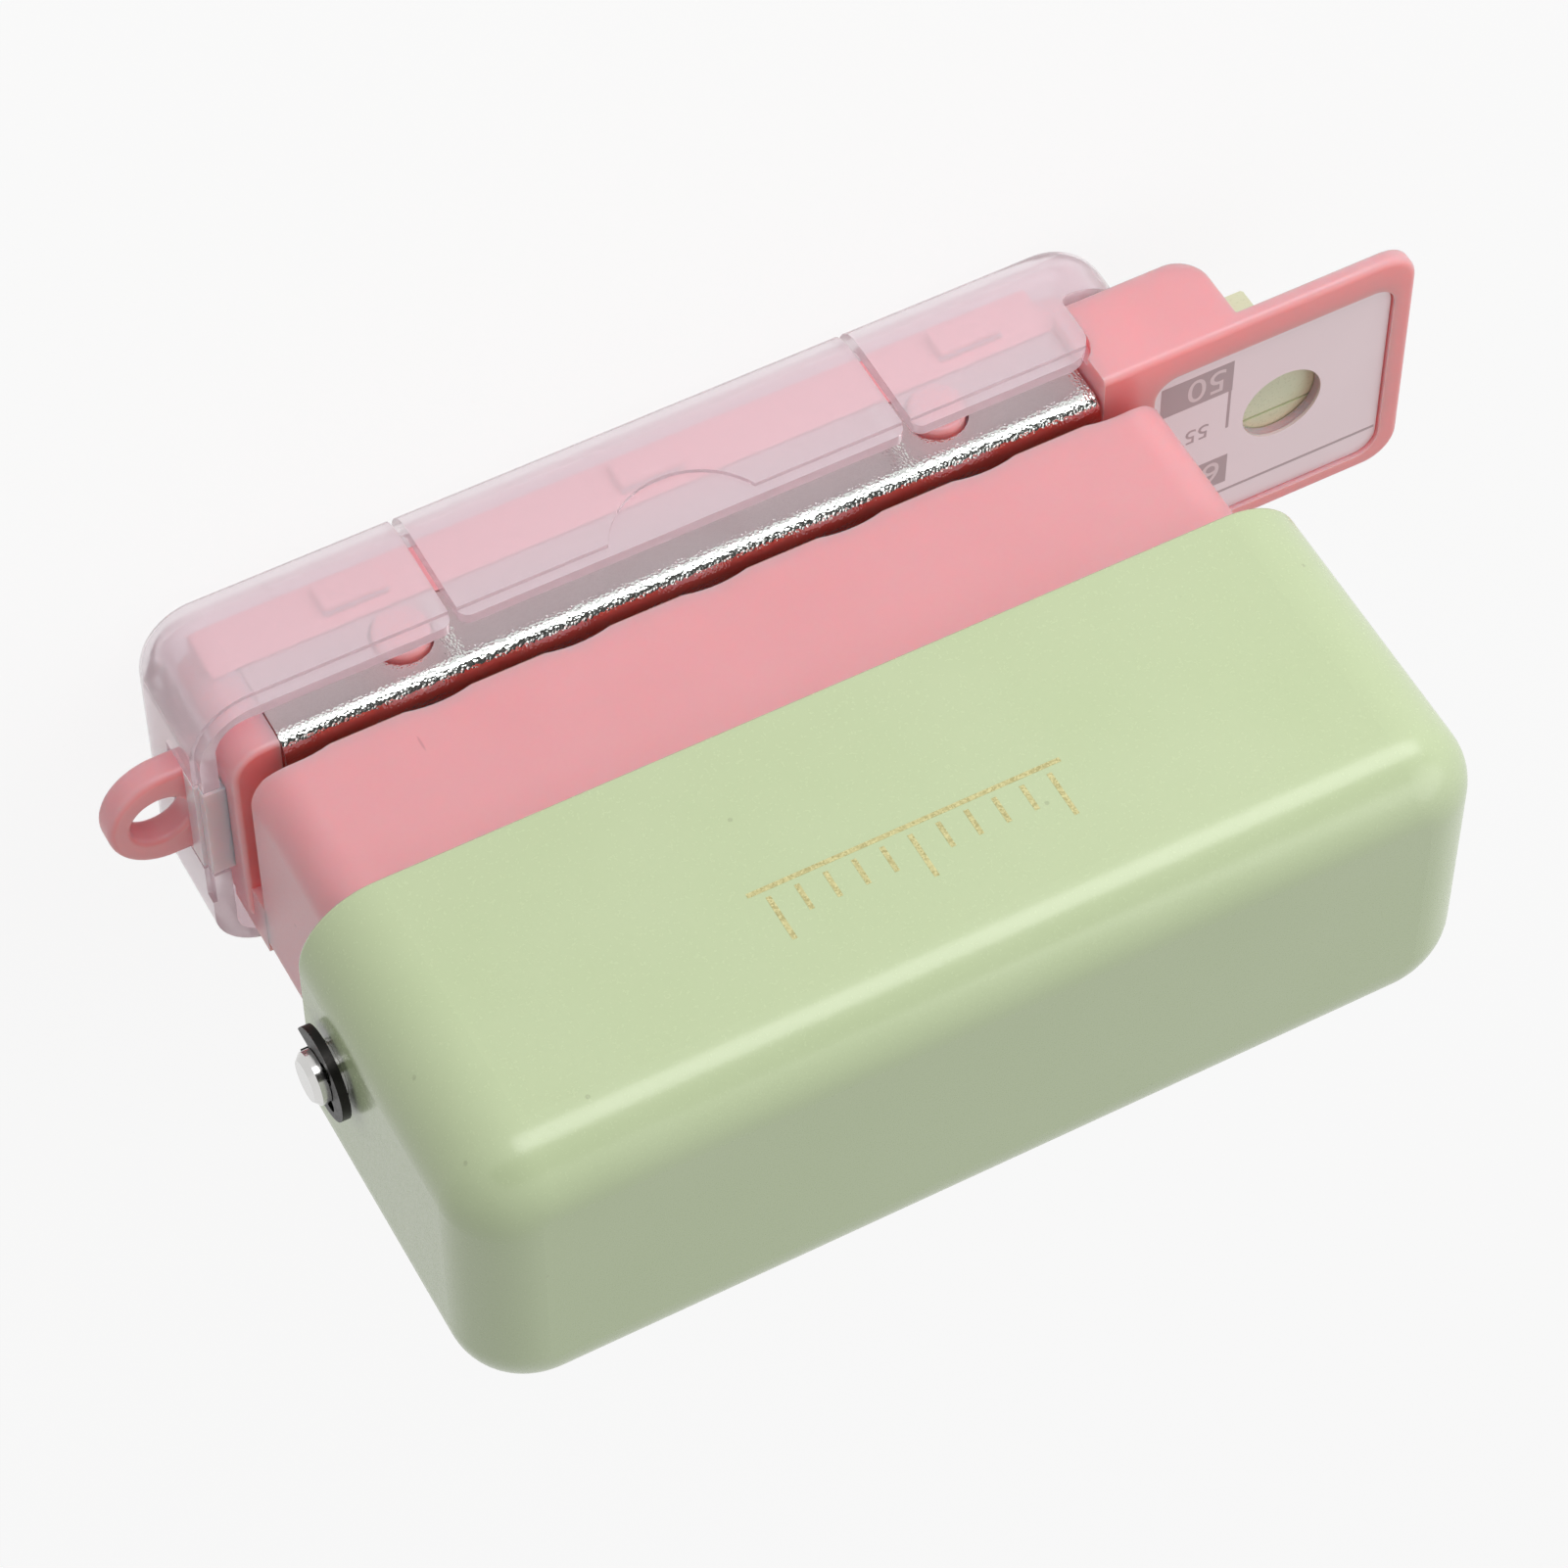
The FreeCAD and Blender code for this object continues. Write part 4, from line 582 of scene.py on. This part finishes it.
def numeral(shape, text, left, low, height):
    """A plain printed number added to a drawing."""
    curve = bpy.data.curves.new("numeral", "FONT")
    curve.body = text
    curve.size = 1.0
    drawn_text = bpy.data.objects.new("numeral", curve)
    bpy.context.collection.objects.link(drawn_text)
    bpy.context.view_layer.update()
    flat = bpy.data.meshes.new_from_object(drawn_text)
    bpy.data.objects.remove(drawn_text)
    top = max(vert.co.y for vert in flat.vertices)
    start = min(vert.co.x for vert in flat.vertices)
    flat.transform(Matrix.Translation((left, low, 0)) @ Matrix.Scale(height / top, 4)
                   @ Matrix.Translation((-start, 0, 0)))
    shape.from_mesh(flat)
    bpy.data.meshes.remove(flat)


def printed(name, shape, place, material, body):
    """Raise a drawing to the ink's thickness, place it on its surface and let it ride there."""
    bmesh.ops.remove_doubles(shape, verts=shape.verts, dist=SAME_POINT)
    raised = bmesh.ops.extrude_face_region(shape, geom=shape.faces[:])
    up = [item for item in raised["geom"] if isinstance(item, bmesh.types.BMVert)]
    bmesh.ops.translate(shape, vec=(0, 0, INK_THICK / MM), verts=up)
    bmesh.ops.recalc_face_normals(shape, faces=shape.faces)
    mesh = bpy.data.meshes.new(name)
    shape.to_mesh(mesh)
    shape.free()
    mesh.transform(place @ Matrix.Scale(MM, 4))
    mesh.materials.append(material)
    piece = bpy.data.objects.new(name, mesh)
    bpy.context.collection.objects.link(piece)
    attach(piece, body)


grey_ink = inked("grey_screen_ink", INK_GREY, INK_MATT)
light_ink = inked("light_screen_ink", INK_LIGHT, INK_MATT)
on_label = Matrix.Translation((0, 0, LABEL_TOP))
drawing = bmesh.new()
for sides in FILLED:
    bar(drawing, *sides)
frame_line(drawing, *OUTLINED, OUTLINE_WIDE)
printed("label_print", drawing, on_label, grey_ink, "base")
drawing = bmesh.new()
for number in ON_BOXES:
    numeral(drawing, *number)
above_print = Matrix.Translation((0, 0, LABEL_TOP + INK_THICK))
printed("label_numbers", drawing, above_print, light_ink, "base")
drawing = bmesh.new()
numeral(drawing, *BETWEEN)
printed("label_number_between", drawing, on_label, grey_ink, "base")


# The handle's front is pad-printed with a gold glitter ink, whose flakes break it into lighter and
# darker grains: a plain base line with a ruler's ticks, a longer one at every fifth.
GOLD_DARK, GOLD_BRIGHT = "B4AB74", "DFD9A0"
GOLD_GLOSS, GOLD_METAL = 0.35, 0.15
CAP_FRONT = -12 * MM
BASE_LINE = 36.7
LINE_LEFT, LINE_RIGHT, LINE_HALF = -11.2, 10.0, 0.17
TICK_PITCH, TICK_MIDDLE, TICK_GAP = 1.9, -0.6, 0.6
LONG_TICK, SHORT_TICK, LONG_EVERY = 3.4, 2.0, 5
gold = inked("gold_glitter_ink", GOLD_DARK, GOLD_GLOSS, GOLD_BRIGHT)
gold.node_tree.nodes["Principled BSDF"].inputs["Metallic"].default_value = GOLD_METAL
on_front = Matrix.Translation((0, CAP_FRONT, 0)) @ Matrix.Rotation(math.radians(90), 4, "X")
drawing = bmesh.new()
bar(drawing, LINE_LEFT, LINE_RIGHT, BASE_LINE - LINE_HALF, BASE_LINE + LINE_HALF)
foot = BASE_LINE + TICK_GAP
for step in range(-LONG_EVERY, LONG_EVERY + 1):
    middle = step * TICK_PITCH + TICK_MIDDLE
    tall = LONG_TICK if step % LONG_EVERY == 0 else SHORT_TICK
    bar(drawing, middle - LINE_HALF, middle + LINE_HALF, foot, foot + tall)
printed("handle_ticks", drawing, on_front, gold, "handle")
